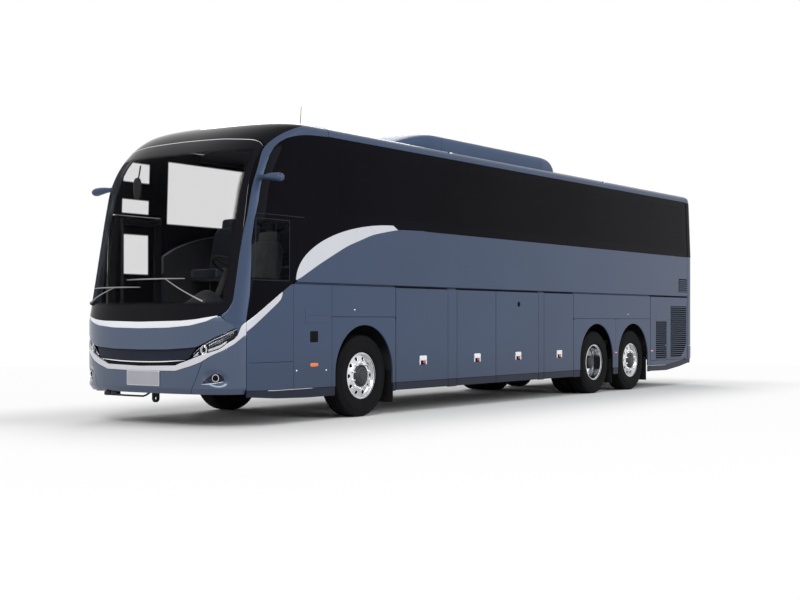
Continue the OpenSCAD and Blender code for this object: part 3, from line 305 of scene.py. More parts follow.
# Near-black: on the kept solids seen through the panel gaps, and as the vent's sheet, it is painted shade.
finish("gapBlack", (0.003, 0.003, 0.004), 0.8, 0, (4, 0.1), (400, 0.1), level=0.1)
finish("chrome", (0.86, 0.87, 0.9), 0.07, 1, (5, 0.04), (500, 0.01), 0.03)
finish("alloy", (0.7, 0.71, 0.73), 0.12, 1, (9, 0.05), (700, 0.04), 0.05)
finish("castHub", (0.03, 0.031, 0.034), 0.42, 0.4, (20, 0.2), (260, 0.2), 0.1)
finish("tyreRubber", (0.0045, 0.0047, 0.0055), 0.7, 0, (6, 0.25), (500, 0.25), 0.08, dust=0.03, level=0.08)
finish("softRubber", (0.010, 0.010, 0.011), 0.6, 0, (6, 0.2), (600, 0.2), 0.08, level=0.15)
finish("underIron", (0.022, 0.022, 0.024), 0.6, 0.3, (5, 0.35), (220, 0.4), 0.12, level=0.2)
finish("moulded", (0.024, 0.025, 0.029), 0.6, 0, (3, 0.15), (800, 0.25), 0.08, level=0.2)
finish("headLining", (0.045, 0.046, 0.052), 0.85, 0, (3, 0.15), (900, 0.3), 0.05, level=0.1)
finish("plateWhite", (0.34, 0.35, 0.39), 0.35, 0.1, (3, 0.04), (600, 0.03))
finish("lampChrome", (0.7, 0.72, 0.78), 0.1, 1, (8, 0.05), (300, 0.02), 0.03)
finish("amberLens", (0.75, 0.16, 0.01), 0.18, 0, (12, 0.15), (260, 0.3), coat=0.5)
finish("redLens", (0.42, 0.01, 0.012), 0.16, 0, (12, 0.15), (260, 0.3), coat=0.6)
finish("whiteLens", (0.75, 0.76, 0.78), 0.15, 0, (12, 0.05), (260, 0.2), coat=0.6)


# Glass that is opaque black apart from clear boxes, each (axis, low, high, z low, z high), where it
# lets part of the light through. Soft steps on the distance from each box's middle make the mask.
def printedGlass(name, clear, alpha, edge=0.012, level=0.022):
    finish(name, (0.003, 0.003, 0.005), 0.05, 0, (0.4, 0.3), (4, 0.015), 0.02, level=level)
    tree = finishes[name].node_tree
    place = next(n for n in tree.nodes if n.type == "TEX_COORD").outputs["Object"]
    split = addNode(tree, "SeparateXYZ", {"Vector": place})

    def within(source, low, high):
        away = mathNode(tree, "ABSOLUTE", mathNode(tree, "SUBTRACT", source, (low + high) / 2))
        return softRise(tree, away, (high - low) / 2 + edge, (high - low) / 2 - edge)

    mask = None
    for axis, low, high, zLow, zHigh in clear:
        one = mathNode(tree, "MULTIPLY", within(split.outputs[axis], low, high),
            within(split.outputs["Z"], zLow, zHigh))
        mask = one if mask is None else mathNode(tree, "MAXIMUM", mask, one)
    opaque = addNode(tree, "MapRange", {"Value": mask, "To Min": 1.0, "To Max": alpha})
    tree.links.new(opaque.outputs[0], tree.nodes["Principled BSDF"].inputs["Alpha"])


printedGlass("screenGlass", [("X", -1.09, 1.09, 1.42, 3.2)], 0.1, 0.03, 0.09)
printedGlass("driverGlass", [("Y", -6.06, -5.43, 1.71, 2.36)], 0.12)
printedGlass("doorGlass", [("Y", -5.72, -5.26, 1.82, 2.33)], 0.08)
printedGlass("kerbGlass", [("Y", -4.93, -3.3, 2.5, 3.32), ("Y", -5.72, -5.26, 3.0, 3.25),
        ("Y", -5.72, -5.26, 2.6, 2.78)], 0.08)
printedGlass("bandGlass", [("Y", -4.5, 6.1, 2.56, 3.36)], 0.93)
printedGlass("rearGlass", [("X", -0.88, 0.88, 2.55, 3.26)], 0.9)
finish("clearLens", (0.03, 0.032, 0.04), 0.03, 0, (3, 0.02), (30, 0.01), 0.01, level=0.35, alpha=0.1)
finish("lampDark", (0.012, 0.015, 0.024), 0.3, 0.3, (8, 0.2), (200, 0.05), level=0.25)
finish("grilleSatin", (0.009, 0.0125, 0.024), 0.42, 0.1, (3, 0.15), (900, 0.1), level=0.15)
finish("plateMetal", (0.5, 0.51, 0.55), 0.3, 0.7, (5, 0.06), (500, 0.05))
finish("podPaint", (0.050, 0.080, 0.148), 0.42, 0.25, (0.9, 0.05), (900, 0.02), 0.03, level=0.12)
finish("wiperGrey", (0.30, 0.305, 0.32), 0.4, 0.2, (20, 0.1), (600, 0.1))
finish("seatCloth", (0.02, 0.026, 0.042), 0.85, 0, (6, 0.2), (1400, 0.6), 0.05, sheen=0.3, level=0.2)
finish("driverCloth", (0.05, 0.052, 0.058), 0.85, 0, (6, 0.2), (1400, 0.6), 0.05, sheen=0.3, level=0.2)
print("finishes made:", len(finishes))


# Half width at height z: straight to the sill, leaning in to the glass top, then a superellipse.
def halfWidth(z):
    z = np.asarray(z, float)
    lean = shape["half"] - shape["lean"] * (z - shape["sill"]) / (shape["glassTop"] - shape["sill"])
    share = np.clip((z - shape["glassTop"]) / (shape["roof"] - shape["glassTop"]), 0, 1)
    over = (shape["half"] - shape["lean"]) * (1 - share ** shape["roofPower"]) ** (1 / shape["roofPower"])
    return np.where(z < shape["sill"], shape["half"], np.where(z < shape["glassTop"], lean, over))


# Y of the nose on the centre line: upright, then a slope, then a quarter ellipse into the roof.
def noseLine(z):
    z = np.asarray(z, float)
    share = np.clip((z - shape["domeStart"]) / (shape["roof"] - shape["domeStart"]), 0, 1)
    return (shape["front"] + shape["screenSlope"] * np.maximum(0, z - shape["screenFoot"])
            + shape["domeDepth"] * (1 - np.sqrt(1 - share ** 2)))


# How far the nose reaches back at width ratio r: a superellipse in plan.
def noseBack(r):
    return 1 - np.clip(1 - np.abs(r) ** shape["nosePower"], 0, 1) ** (1 / shape["nosePower"])


# Point of the nose at width ratio r and height z: the nose line plus the reach in plan.
def nosePoint(r, z):
    wide = halfWidth(z)
    return np.stack([r * wide, noseLine(z) + shape["noseDepth"] * wide / shape["half"] * noseBack(r),
            z + 0 * r], -1)


# Point of the side s (1 left, -1 right) at length y: the same superellipse, solved for its width.
def sidePoint(s, y, z):
    depth = shape["noseDepth"] * halfWidth(z) / shape["half"]
    share = np.clip(1 - (y - noseLine(z)) / depth, 0, 1)
    wide = halfWidth(z) * (1 - share ** shape["nosePower"]) ** (1 / shape["nosePower"])
    return np.stack([s * wide, y + 0 * z, z + 0 * y], -1)


# Arc length along the nose in plan against its width ratio.
ratioTable = np.sin(np.linspace(0, math.pi / 2, 600)) ** 0.8
planX, planY = ratioTable * shape["half"], shape["noseDepth"] * noseBack(ratioTable)
arcTable = np.concatenate([[0], np.cumsum(np.hypot(np.diff(planX), np.diff(planY)))])


# Arc length from the middle at width ratio r, with its sign, and the way back.
def arcOfRatio(r):
    return np.sign(r) * np.interp(np.abs(r), ratioTable, arcTable)


def ratioOfArc(arc):
    return np.sign(arc) * np.interp(np.abs(arc), arcTable, ratioTable)


# The tail: as deep as a superellipse in plan, and its rear line curves over into the roof.
def tailLine(z):
    share = np.clip((z - shape["roof"] + shape["tailTop"]) / shape["tailTop"], 0, 1)
    low = np.clip((0.75 - z) / 0.45, 0, 1)
    return shape["rear"] - shape["tailDrop"] * (1 - (1 - share ** 2.4) ** (1 / 2.4)) - 0.05 * low ** 2


# Point of the tail at width ratio r: the tail line drawn in by a superellipse.
def tailPoint(r, z):
    power = shape["tailPower"]
    deep = np.clip(1 - np.abs(r) ** power, 0, 1) ** (1 / power)
    return np.stack([r * halfWidth(z), shape["tailStart"] + (tailLine(z) - shape["tailStart"]) * deep,
            z + 0 * r], -1)


# Corners in a table of (place, height) rounded off: the table read at many places, then averaged.
def softTable(table, reach=0.05):
    table = np.asarray(table, float)
    fine = np.linspace(table[0, 0] - reach, table[-1, 0] + reach, 1200)
    read = np.interp(fine, table[:, 0], table[:, 1])
    steps = max(1, int(reach / (fine[1] - fine[0])))
    padded = np.concatenate([np.repeat(read[0], steps), read, np.repeat(read[-1], steps)])
    kernel = np.hanning(2 * steps + 1)
    smooth = np.convolve(padded, kernel / kernel.sum(), "valid")
    return lambda x: np.interp(x, fine, smooth)


# A surface over the nose: u goes from ratio to ratio by arc length, v from the low curve to the high.
def noseSurface(r0, r1, low, high):
    a0, a1 = arcOfRatio(r0), arcOfRatio(r1)

    def surface(u, v):
        r = ratioOfArc(a0 + (a1 - a0) * u)
        return nosePoint(r, low(np.abs(r)) * (1 - v) + high(np.abs(r)) * v)
    return surface


# A surface over the side s: v goes up between the curves, u along it, so that it faces outwards.
def sideSurface(s, y0, y1, low, high):
    lowOf = low if callable(low) else (lambda y: low + 0 * y)
    highOf = high if callable(high) else (lambda y: high + 0 * y)

    def surface(u, v):
        share = u if s > 0 else 1 - u
        y = y0 + (y1 - y0) * share
        return sidePoint(s, y, lowOf(y) * (1 - v) + highOf(y) * v)
    return surface


# A panel on the side s with its grid chosen by cell, the aimed size of a cell.
def sidePanel(s, y0, y1, low, high, lift=0.0, thick=0.03, lip=0.004, cell=0.12, rows=None):
    size = (max(high(y1) if callable(high) else high, 0) - (low(y1) if callable(low) else low))
    cols = max(2, int((y1 - y0) / cell))
    return panel(sideSurface(s, y0, y1, low, high), y1 - y0, max(abs(size), 0.05), cols,
                 rows or max(2, int(abs(size) / cell)), thick, lip, lift)


front = {"strip": 0.006, "pillarOut": 0.985,
         "bumperLow": 0.385, "sillLine": 0.45, "undercut": 0.045}
# Heights over the width ratio: the stripe's two edges, the lamp's top, the hood's edge, the silver
# strip's edges and the windscreen's lower and upper edges.
stripeTop = softTable([(0, 0.70), (0.44, 0.714), (0.473, 0.731), (0.598, 0.783), (0.68, 0.824),
        (0.74, 0.851), (0.79, 0.871), (0.85, 0.899), (0.88, 0.931), (0.908, 0.97), (0.94, 1.011),
        (0.957, 1.049), (0.963, 1.095), (0.966, 1.15), (0.984, 1.211)], 0.012)
stripeLow = softTable([(0, 0.643), (0.44, 0.652), (0.473, 0.663), (0.598, 0.706), (0.696, 0.752),
        (0.781, 0.82), (0.85, 0.868), (0.89, 0.898), (0.94, 0.955), (0.966, 1.009), (0.984, 1.061)], 0.012)
lampTop = softTable([(0.598, 0.79), (0.628, 0.847), (0.669, 0.904), (0.739, 0.967), (0.821, 1.029),
        (0.889, 1.074), (0.929, 1.113), (0.96, 1.142)], 0.012)
hoodLow = softTable([(0, 0.887), (0.35, 0.893), (0.58, 0.912), (0.66, 0.925), (0.739, 0.975),
        (0.821, 1.037), (0.889, 1.082), (0.929, 1.121), (0.96, 1.15)], 0.03)
silverHigh = softTable([(0, 1.212), (0.5, 1.224), (0.65, 1.24), (0.84, 1.283)], 0.05)
silverLow = softTable([(0, 1.134), (0.35, 1.142), (0.6, 1.168), (0.75, 1.215), (0.84, 1.278)], 0.05)


# Windscreen's lower and upper edge: a shallow curve with a rounded corner, 1 - sqrt(1 - x^2.2).
def screenLow(r):
    corner = np.clip((r - 0.8) / 0.12, 0, 1)
    edge = np.interp(r, [0, 0.5, 0.65, 0.84, 1], [1.215, 1.227, 1.243, 1.286, 1.32])
    return edge + 0.16 * (1 - np.sqrt(1 - corner ** 2.2))


def screenHigh(r):
    corner = np.clip((r - 0.78) / 0.14, 0, 1)
    edge = np.interp(r, [0, 0.5, 0.92, 1], [3.38, 3.368, 3.33, 3.32])
    return edge - 0.1 * (1 - np.sqrt(1 - corner ** 2.2))


# Outward direction of the nose in plan at ratio r: the superellipse's slope.
def noseOut(r):
    out = np.stack([np.sign(r) * np.abs(r) ** 2 / shape["half"],
                    -(1 - np.minimum(np.abs(r), 0.999) ** 3) ** (2 / 3) / shape["noseDepth"], 0 * r], -1)
    return out / np.linalg.norm(out, axis=-1, keepdims=True)


# Bumper: below its sill line the skin turns in under the nose, and round each fog lamp it dips.
fog = {"x": 1.05, "z": 0.575, "dip": 0.04, "wide": 0.125, "tall": 0.07}


# Depth of the dip at arc length a from the middle and height z: a bell with a flat floor.
def fogDip(a, z):
    fogArc = arcOfRatio(fog["x"] / shape["half"])
    away = ((a - fogArc) / fog["wide"]) ** 2 + ((z - fog["z"] + 0.18 * (a - fogArc)) / fog["tall"]) ** 2
    return fog["dip"] / (1 + away ** 3)


# Bumper between two ratios: seams lean inwards below, v goes up from its foot to the stripe.
def bumperShape(r0, r1):
    a0, a1 = arcOfRatio(r0), arcOfRatio(r1)
    seam0, seam1 = np.sign(r0) * (abs(r0) < 0.9), np.sign(r1) * (abs(r1) < 0.9)
    def surface(u, v):
        arcLow, arcHigh = (a0 - 0.16 * seam0) * (1 - u) + (a1 - 0.16 * seam1) * u, a0 * (1 - u) + a1 * u
        arc = arcLow * (1 - v) + arcHigh * v
        r = ratioOfArc(arc)
        z = front["bumperLow"] * (1 - v) + (stripeLow(np.abs(r)) - 0.004) * v
        place = nosePoint(r, z)
        under = np.clip((front["sillLine"] - z) / (front["sillLine"] - front["bumperLow"]), 0, 1)
        inward = front["undercut"] * under + fogDip(np.abs(arc), z)
        return place - noseOut(r) * inward[..., None]
    return surface


seamRatio = 0.71
end = front["pillarOut"]
bumperParts = [panel(bumperShape(-seamRatio, seamRatio), 2.0, 0.35, 90, 30, 0.03, 0.004),
               panel(bumperShape(seamRatio + 0.004, end), 0.75, 0.5, 60, 44, 0.03, 0.004),
               panel(bumperShape(-end, -seamRatio - 0.004), 0.75, 0.5, 60, 44, 0.03, 0.004)]
piece("bumperSkin", bumperParts, "nosePaint", "body")

maskEdge = lambda z: np.interp(z, [1.10, 1.15, 1.28], [0.965, 0.958, 0.855])


# Mask between the grille and the windscreen: u across it between its slanting ends, v upwards.
def maskSurface(u, v):
    half = maskEdge(1.12 * (1 - v) + 1.28 * v)
    r = ratioOfArc(arcOfRatio(half) * (2 * u - 1))
    z = hoodLow(np.abs(r)) * (1 - v) + np.minimum(silverLow(np.abs(r)), 1.29) * v
    place = nosePoint(r, z)
    # The hood's lip stands a little proud over the grille.
    place[..., 1] -= 0.006 * np.exp(-((v - 0.04) / 0.05) ** 2) * (np.abs(r) < 0.62)
    return place


piece("noseMask", panel(maskSurface, 2.7, 0.3, 90, 16, 0.03, 0.005), "nosePaint", "body")
piece("uStripe", panel(noseSurface(-end, end, stripeLow, stripeTop), 3.2, 0.06, 150, 4, 0.02, 0.004,
        front["strip"] / 3), "paleStripe", "body")
piece("silverStrip", panel(noseSurface(-0.835, 0.835, silverLow,
        lambda r: np.maximum(silverHigh(r), silverLow(r) + 0.004)), 2.3, 0.07, 90, 4, 0.02, 0.005,
        front["strip"] / 3), "silverStrip", "body")

# The windscreen: printed black along its rim, with rounded corners.
piece("windscreenGlass", panel(noseSurface(-0.92, 0.92,
        lambda r: np.where(r <= 0.84, silverHigh(r) - 0.012, screenLow(r)), screenHigh), 2.6, 2.1, 110, 60,
        0.008, 0.003), "screenGlass", "body")


# Pillar: v goes up and u across, from the windscreen's rim to the side glass, whose front edge
# curves back at the top. Above the windscreen it follows the dome's rim to the roof.
# Width ratio of its inner edge over z.
pillarZ, pillarIn = np.array([(1.0, 0.962), (1.1, 0.957), (1.136, 0.951), (1.2, 0.907), (1.28, 0.857),
        (1.29, 0.858), (1.3, 0.869), (1.32, 0.885), (1.36, 0.903), (1.42, 0.915), (1.48, 0.9205),
        (1.6, 0.9205), (2.0, 0.9205), (2.2, 0.9245), (2.4, 0.9325), (2.7, 0.9405), (2.92, 0.9465),
        (3.0, 0.9455), (3.08, 0.941), (3.15, 0.934), (3.2, 0.9295), (3.25, 0.9285), (3.3, 0.933),
        (3.4, 0.95), (3.5, 0.972), (3.58, 0.99)]).T
glassFrontZ = np.array([2.85, 2.95, 3.05, 3.15, 3.25, 3.32, 3.38, 3.42, 3.45, 3.47, 3.479])
glassFrontBack = np.array([0.0, 0.008, 0.03, 0.07, 0.14, 0.22, 0.33, 0.46, 0.62, 0.82, 1.1])


# Y of the pillar's rear edge at height z: the ratio line, then further and further back.
def pillarRear(z):
    cut = front["pillarOut"]
    high = nosePoint(np.array(cut), np.array(2.85))[1] + 0.14 * (np.minimum(z, 3.45) - 2.85)
    forward = np.interp(z, [1.6, 1.9, 2.14, 2.38, 2.6, 2.85, 2.96, 3.09],
        [0, 0.04, 0.072, 0.072, 0.045, 0.038, 0.016, 0])
    high = high + np.interp(z, glassFrontZ, glassFrontBack)
    return np.where(z < 2.85, nosePoint(cut + 0 * z, z)[..., 1], high) - forward


# Pillar on side s: the front edge lies on the nose and the rear edge on pillarRear.
def pillarSurface(s):
    def surface(u, v):
        z = 1.05 + (3.598 - 1.05) * v
        low = nosePoint(np.interp(z, pillarZ, pillarIn), z)
        rear = pillarRear(z)
        share = u if s > 0 else 1 - u
        y = low[..., 1] * (1 - share) + rear * share
        return sidePoint(s, y, z)
    return surface


pillarParts = [panel(pillarSurface(s), 0.3, 2.6, 14, 150, 0.03, 0.004) for s in (1, -1)]


# The black rim that widens between the windscreen and the pillar, at mid height.
def rimSurface(s):
    def surface(u, v):
        z = 1.62 + (3.262 - 1.62) * v
        share = u if s > 0 else 1 - u
        edge = np.interp(z, pillarZ, pillarIn) - 0.001
        return nosePoint(s * (0.9208 * (1 - share) + np.maximum(edge, 0.9212) * share), z)
    return surface


piece("screenRims", [panel(rimSurface(s), 0.04, 1.65, 5, 60, 0.006, 0.001) for s in (1, -1)], "blackGlass",
    "body")


glassEdge = {"z": np.concatenate([np.linspace(1.216, 2.85, 60), np.linspace(2.86, 3.479, 160)])}
glassEdge["y"] = pillarRear(glassEdge["z"])
railFront = float(glassEdge["y"][-1])


# Roof: the cross-section's angle goes across and the length back, from behind the dome.
def roofStart(wide, z):
    ratio = np.abs(wide) / np.maximum(halfWidth(z), 1e-3)
    return noseLine(z) + shape["noseDepth"] * halfWidth(z) / shape["half"] * noseBack(ratio)


# Roof section: the sine of the angle gives the width, its cosine the height, both square-rooted.
def roofSection(u):
    angle = (2 * u - 1) * math.pi / 2 * 0.645
    bend = lambda a: np.sign(a) * np.abs(a) ** 0.5
    wide = (shape["half"] - shape["lean"]) * bend(np.sin(angle))
    return wide, shape["glassTop"] + (shape["roof"] - shape["glassTop"]) * np.abs(np.cos(angle)) ** 0.5


# The dome's colour ends on a line that bends forward to the pillars' tops.
def domeEnd(wide, z):
    return np.maximum(roofStart(wide, z) + 0.012,
        -4.8 - 0.25 * np.maximum(0, (np.abs(wide) - 0.85) / 0.35) ** 2)


# The roof from the dome's line back to the tail.
def roofSurface(u, v):
    wide, z = roofSection(u)
    return np.stack([wide, (domeEnd(wide, z) + 0.002) * (1 - v) + shape["tailStart"] * v, z], -1)


# The black sheet behind the dome: from under its crown back to the bent line.
def domeTail(u, v):
    wide, z = roofSection(u)
    middle = np.clip(1 - (wide / 0.55) ** 2, 0, 1)
    start = roofStart(wide, z) - 0.012 - 0.11 * middle
    return np.stack([wide, start * (1 - v) + domeEnd(wide, z) * v,
            z - 0.0005 * (1 - v) - 0.004 * middle * (1 - v) ** 6], -1)


skinLift = 0.002
piece("pillars", pillarParts, "slatePaint", "body")
piece("cantRails", [sidePanel(s, railFront + 0.002, shape["tailStart"], 3.482, 3.598, skinLift, 0.003,
        0.002, 0.1, 12) for s in (1, -1)], "slatePaint", "body")
piece("roofSkin", panel(roofSurface, 2.3, 11.2, 60, 60, 0.003, 0.002, skinLift), "roofPaint", "body")


# Dome: rows crowd towards the crown, and its side rim gives way to the pillar's top.
def domeSurface(u, v):
    side = 2 * u - 1
    z0 = screenHigh(np.abs(side) * 0.92) + 0.003
    z = z0 + (shape["roof"] - z0) * (1 - (1 - v) ** 2)
    widest = np.interp(z, [3.2, 3.25, 3.3, 3.4, 3.5, 3.58, 3.598, 3.6],
        [0.92, 0.924, 0.931, 0.949, 0.971, 0.989, 0.993, 1.0])
    r = ratioOfArc(arcOfRatio(widest) * side)
    return nosePoint(r, np.minimum(z, shape["roof"] - 4e-6))


piece("domeShell", [panel(domeSurface, 2.7, 1.4, 90, 50, 0.03, 0.003),
        panel(domeTail, 2.3, 0.2, 60, 5, 0.003, 0.0015, 0.0015)], "domeBlack", "body")
# The bright line over the windscreen follows its rim.
rimR = np.concatenate([-np.linspace(0.915, 0.3, 40), np.linspace(-0.3, 0.3, 20)[1:-1],
        np.linspace(0.3, 0.915, 40)])
rimPath = nosePoint(rimR, screenHigh(np.abs(rimR)))
piece("domeLine", tube(rimPath + np.array([0, -0.001, 0]),
        np.interp(np.linspace(0, 1, len(rimPath)), [0, 0.06, 0.94, 1], [0.0012, 0.0036, 0.0036, 0.0012]),
        8), "chrome", "body")
print("nose and roof made")


# The glass band's lower edge on the left: the slanting line over the stripe, then a quarter ellipse
# up to the sill. On the right it starts above the door.
sweep = {"y0": -5.3, "y1": -3.3, "z0": 1.699}


# A quarter ellipse over y, from z0 up to the sill.
def sweepHigh(y):
    share = np.clip((y - sweep["y0"]) / (sweep["y1"] - sweep["y0"]), 0, 1)
    return sweep["z0"] + (shape["sill"] - sweep["z0"]) * np.sqrt(1 - (1 - share) ** 2)


arcLow = softTable([(-5.3, 1.69), (-4.88, 1.9), (-4.32, 2.15), (-3.77, 2.325), (-3.24, 2.415),
        (-2.6, 2.43)], 0.2)


# Lower edge of the glass band: a slanting line, the quarter ellipse, then the sill.
def bandLow(y):
    line = np.interp(y, [-6.16, -5.548, -5.31], [1.2, 1.56, 1.7])
    return np.where(y < -5.3, line, np.where(y < sweep["y1"], sweepHigh(y) - 0.02 * (y > -5.25),
            shape["sill"]))


# Upper edge of the glass band: the pillar's rear edge, read over y.
def bandHigh(y):
    return np.interp(y, glassEdge["y"], glassEdge["z"]) - 0.002


# The left band in panes: joints at even steps behind the driver's window.
paneEdges = [-6.143, -5.3] + list(np.linspace(-4.97, 6.2795, 8))
leftPanes = [sidePanel(1, a + 0.002, b - 0.002, bandLow, bandHigh, 0.001, 0.006, 0.002, 0.04, 18)
             for a, b in zip(paneEdges[:-1], paneEdges[1:])]
piece("sideGlassDriver", leftPanes[0], "driverGlass", "body")
piece("sideGlassLeft", leftPanes[1:], "bandGlass", "body")


# On the right the band starts over the door's glass.
def kerbLow(y):
    overDoor = np.maximum(2.566, np.interp(y, glassEdge["y"], glassEdge["z"]) - 0.9)
    return np.where(y < -5.05, overDoor, np.where(y < sweep["y1"], sweepHigh(y), shape["sill"]))


kerbEdges = [-5.95, -5.052] + paneEdges[2:]
kerbPanes = [sidePanel(-1, a + 0.002, b - 0.002, kerbLow, bandHigh, 0.001, 0.006, 0.002, 0.04, 18)
             for a, b in zip(kerbEdges[:-1], kerbEdges[1:])]
piece("sideGlassKerb", kerbPanes[:3], "kerbGlass", "body")
piece("kerbPost", sidePanel(-1, -6.141, -5.966, lambda y: np.interp(y, [-6.16, -5.966], [1.2, 1.312]),
        bandHigh, 0.001, 0.006, 0.002, 0.03, 40), "blackGlass", "body")
piece("sideGlassRight", kerbPanes[3:], "bandGlass", "body")

# Wall over the waist, up to the band and the pale arc.
wallParts = [sidePanel(s, -5.28 if s > 0 else -5.047, shape["tailStart"], 1.684,
        lambda y: np.where(y < -2.6, arcLow(y) + 0.004, 2.428), 0.0025, 0.0035, 0.002, 0.1, 10)
    for s in (1, -1)]
piece("upperWall", wallParts, "slatePaint", "body")


# Pale arc: between the ellipse above and its lower edge, ending in a slanting tip.
def arcShape(s):
    def surface(u, v):
        share = u if s > 0 else 1 - u
        y0 = -5.298 if s > 0 else -5.045
        y = y0 + (-3.235 - y0) * np.maximum(share, 0) ** 1.5
        top = np.where(y > -3.33, np.maximum(2.462 - (y + 3.33) * 0.5, arcLow(y) + 0.001),
            np.maximum(sweepHigh(y) + 0.035 * np.clip((y + 5.3) / 1.9, 0, 1), arcLow(y)))
        return sidePoint(s, y, arcLow(y) * (1 - v) + top * v)
    return surface


piece("sideArc", [panel(arcShape(s), 2.2, 0.2, 70, 8, 0.006, 0.002, 0.005) for s in (1, -1)],
    "paleStripe", "body")


# Lower stripe on each front corner: from the bumper's stripe up to its rounded tip.
def tipShape(s):
    def surface(u, v):
        share = u if s > 0 else 1 - u
        y = -6.146 + (0.6 if s > 0 else 0.178) * share
        top = np.interp(y, [-6.16, -5.548], [1.2, 1.56])
        low = np.interp(y, [-6.16, -5.62, -5.56, -5.546], [1.086, 1.435, 1.485, 1.555])
        return sidePoint(s, y, low * (1 - v) + top * v)
    return surface


piece("stripeTips", [panel(tipShape(s), 0.6, 0.11, 24, 5, 0.005, 0.002, 0.005) for s in (1, -1)],
    "paleStripe", "body")

# Lower side panels: y0, y1, z0, z1 of each plain one.
stripZ = 0.41
stripFoot = lambda y: np.interp(y, [-6.14, -5.66, -5.1, 4.5], [0.352, 0.318, 0.302, 0.302])
stripHigh = lambda y: np.interp(y, [-6.14, -5.66], [0.425, stripZ])
cornerRear = {1: -5.35, -1: -5.968}
plain = [(-4.62, -3.279, 1.27, 1.657), (-2.035, -1.805, stripZ, 1.657), (0.515, 0.685, stripZ, 1.657),
         (1.664, 4.606, 1.252, 1.657)]
plainFront = {1: -5.35, -1: -5.052}
gap = 0.0025
sideParts, stripParts = [], []
for s in (1, -1):
    for y0, y1, z0, z1 in [(plainFront[s], -4.62, stripZ, 1.657)] + plain:
        sideParts.append(sidePanel(s, y0 + gap, y1 - gap, z0 + gap, z1, skinLift, 0.02, 0.002, 0.12))


# Panel round a wheel arch: v goes from the arch's circle out to the panel's rectangle, and u round
# the circle from its rear foot over the top to its front foot.
def archSurface(s, centreY, centreZ, radius, y0, y1, z0, z1):
    def surface(u, v):
        foot = centreZ - z0
        # Straight below the circle's middle: the first and last eighth of u run down the arch's legs.
        t = u if s < 0 else 1 - u
        leg = 0.14
        inArc = np.clip((t - leg) / (1 - 2 * leg), 0, 1) * math.pi
        down = np.where(t < leg, 1 - t / leg, np.where(t > 1 - leg, (t - 1 + leg) / leg, 0)) * foot
        y, z = radius * np.cos(inArc), radius * np.sin(inArc) - down
        reach = np.maximum(np.abs(y) / np.where(y > 0, y1 - centreY, centreY - y0), 1e-6)
        high = np.maximum(z / (z1 - centreZ), 1e-6)
        grow = 1 / np.maximum(reach, high)
        outY = np.where(down > 0, np.where(y > 0, y1 - centreY, y0 - centreY), y * grow)
        outZ = np.where(down > 0, z, z * grow)
        return sidePoint(s, centreY + y * (1 - v) + outY * v, centreZ + z * (1 - v) + outZ * v)
    return surface


arches = [(-3.95, -4.62, -3.279, 1.27), (2.5, 1.664, 3.2, 1.252), (3.9, 3.2, 4.606, 1.252)]
for s in (1, -1):
    for centre, y0, y1, top in arches:
        sideParts.append(panel(archSurface(s, centre, 0.565, 0.602, y0 + gap, y1 - gap, stripZ + gap,
                top - gap), 2.4, 0.15, 90, 5, 0.02, 0.002, skinLift))

# Front corners: the upper panel ends under the stripe, the lower one at a seam.
cornerLine = lambda y: np.minimum(np.interp(y, [-6.16, -5.62, -5.548, -5.31],
        [1.082, 1.43, 1.556, 1.698]), 1.657)
for s in (1, -1):
    rear = cornerRear[s]
    sideParts.append(sidePanel(s, -6.143, rear - gap, 0.742, cornerLine, skinLift, 0.02, 0.002, 0.05, 12))
    sideParts.append(sidePanel(s, -6.143, rear - gap, lambda y: stripHigh(y) + gap, 0.738, skinLift, 0.02,
            0.002, 0.05, 6))
piece("sideSkins", sideParts, "slatePaint", "body")

# Dark strip along the foot of the sides.
strips = [(-3.34, -3.279), (-2.031, -1.809), (0.519, 0.681), (1.664, 1.89), (3.11, 3.29), (4.51, 4.606)]
stripFront = {1: [(-6.143, -4.56)], -1: [(-6.143, -5.968), (-5.052, -4.56)]}
for s in (1, -1):
    for y0, y1 in stripFront[s] + strips:
        stripParts.append(sidePanel(s, y0 + gap, y1 - gap, stripFoot, lambda y: stripHigh(y) - gap,
                skinLift, 0.02, 0.002, 0.06, 4))
piece("footStrips", stripParts, "darkStrip", "body")


# Waist rail: a C-shaped bead that the flaps hang in, carried along the side.
def railPart(s, y0, y1):
    angle = np.radians(np.linspace(35, 262, 16))[:, None]
    y = np.linspace(y0, y1, 3)[None]
    ring = lambda r: np.stack([s * (1.262 + r * np.cos(angle)) + 0 * y, y + 0 * angle,
            shape["waist"] + 0.0035 + r * np.sin(angle) + 0 * y], -1)
    return wallBetween(ring(0.0135), ring(0.0105))


piece("waistRails", [railPart(1, -5.292, -3.281), railPart(1, -3.275, 6.275), railPart(-1, -5.047, -3.281),
        railPart(-1, -3.275, 1.66), railPart(-1, 1.664, 6.275)], "slatePaint", "body")

# Luggage flaps: a skin over each, with a foot strip and a handle.
flapEdges = {1: [(-3.275, -2.035), (-1.805, -0.755), (-0.755, 0.515), (0.685, 1.66)],
    -1: [(-3.275, -2.035), (-1.805, 0.515), (0.685, 1.66)]}
handle = {"z": 0.69, "wide": 0.168, "tall": 0.122}
sideWord = {1: "left", -1: "right"}


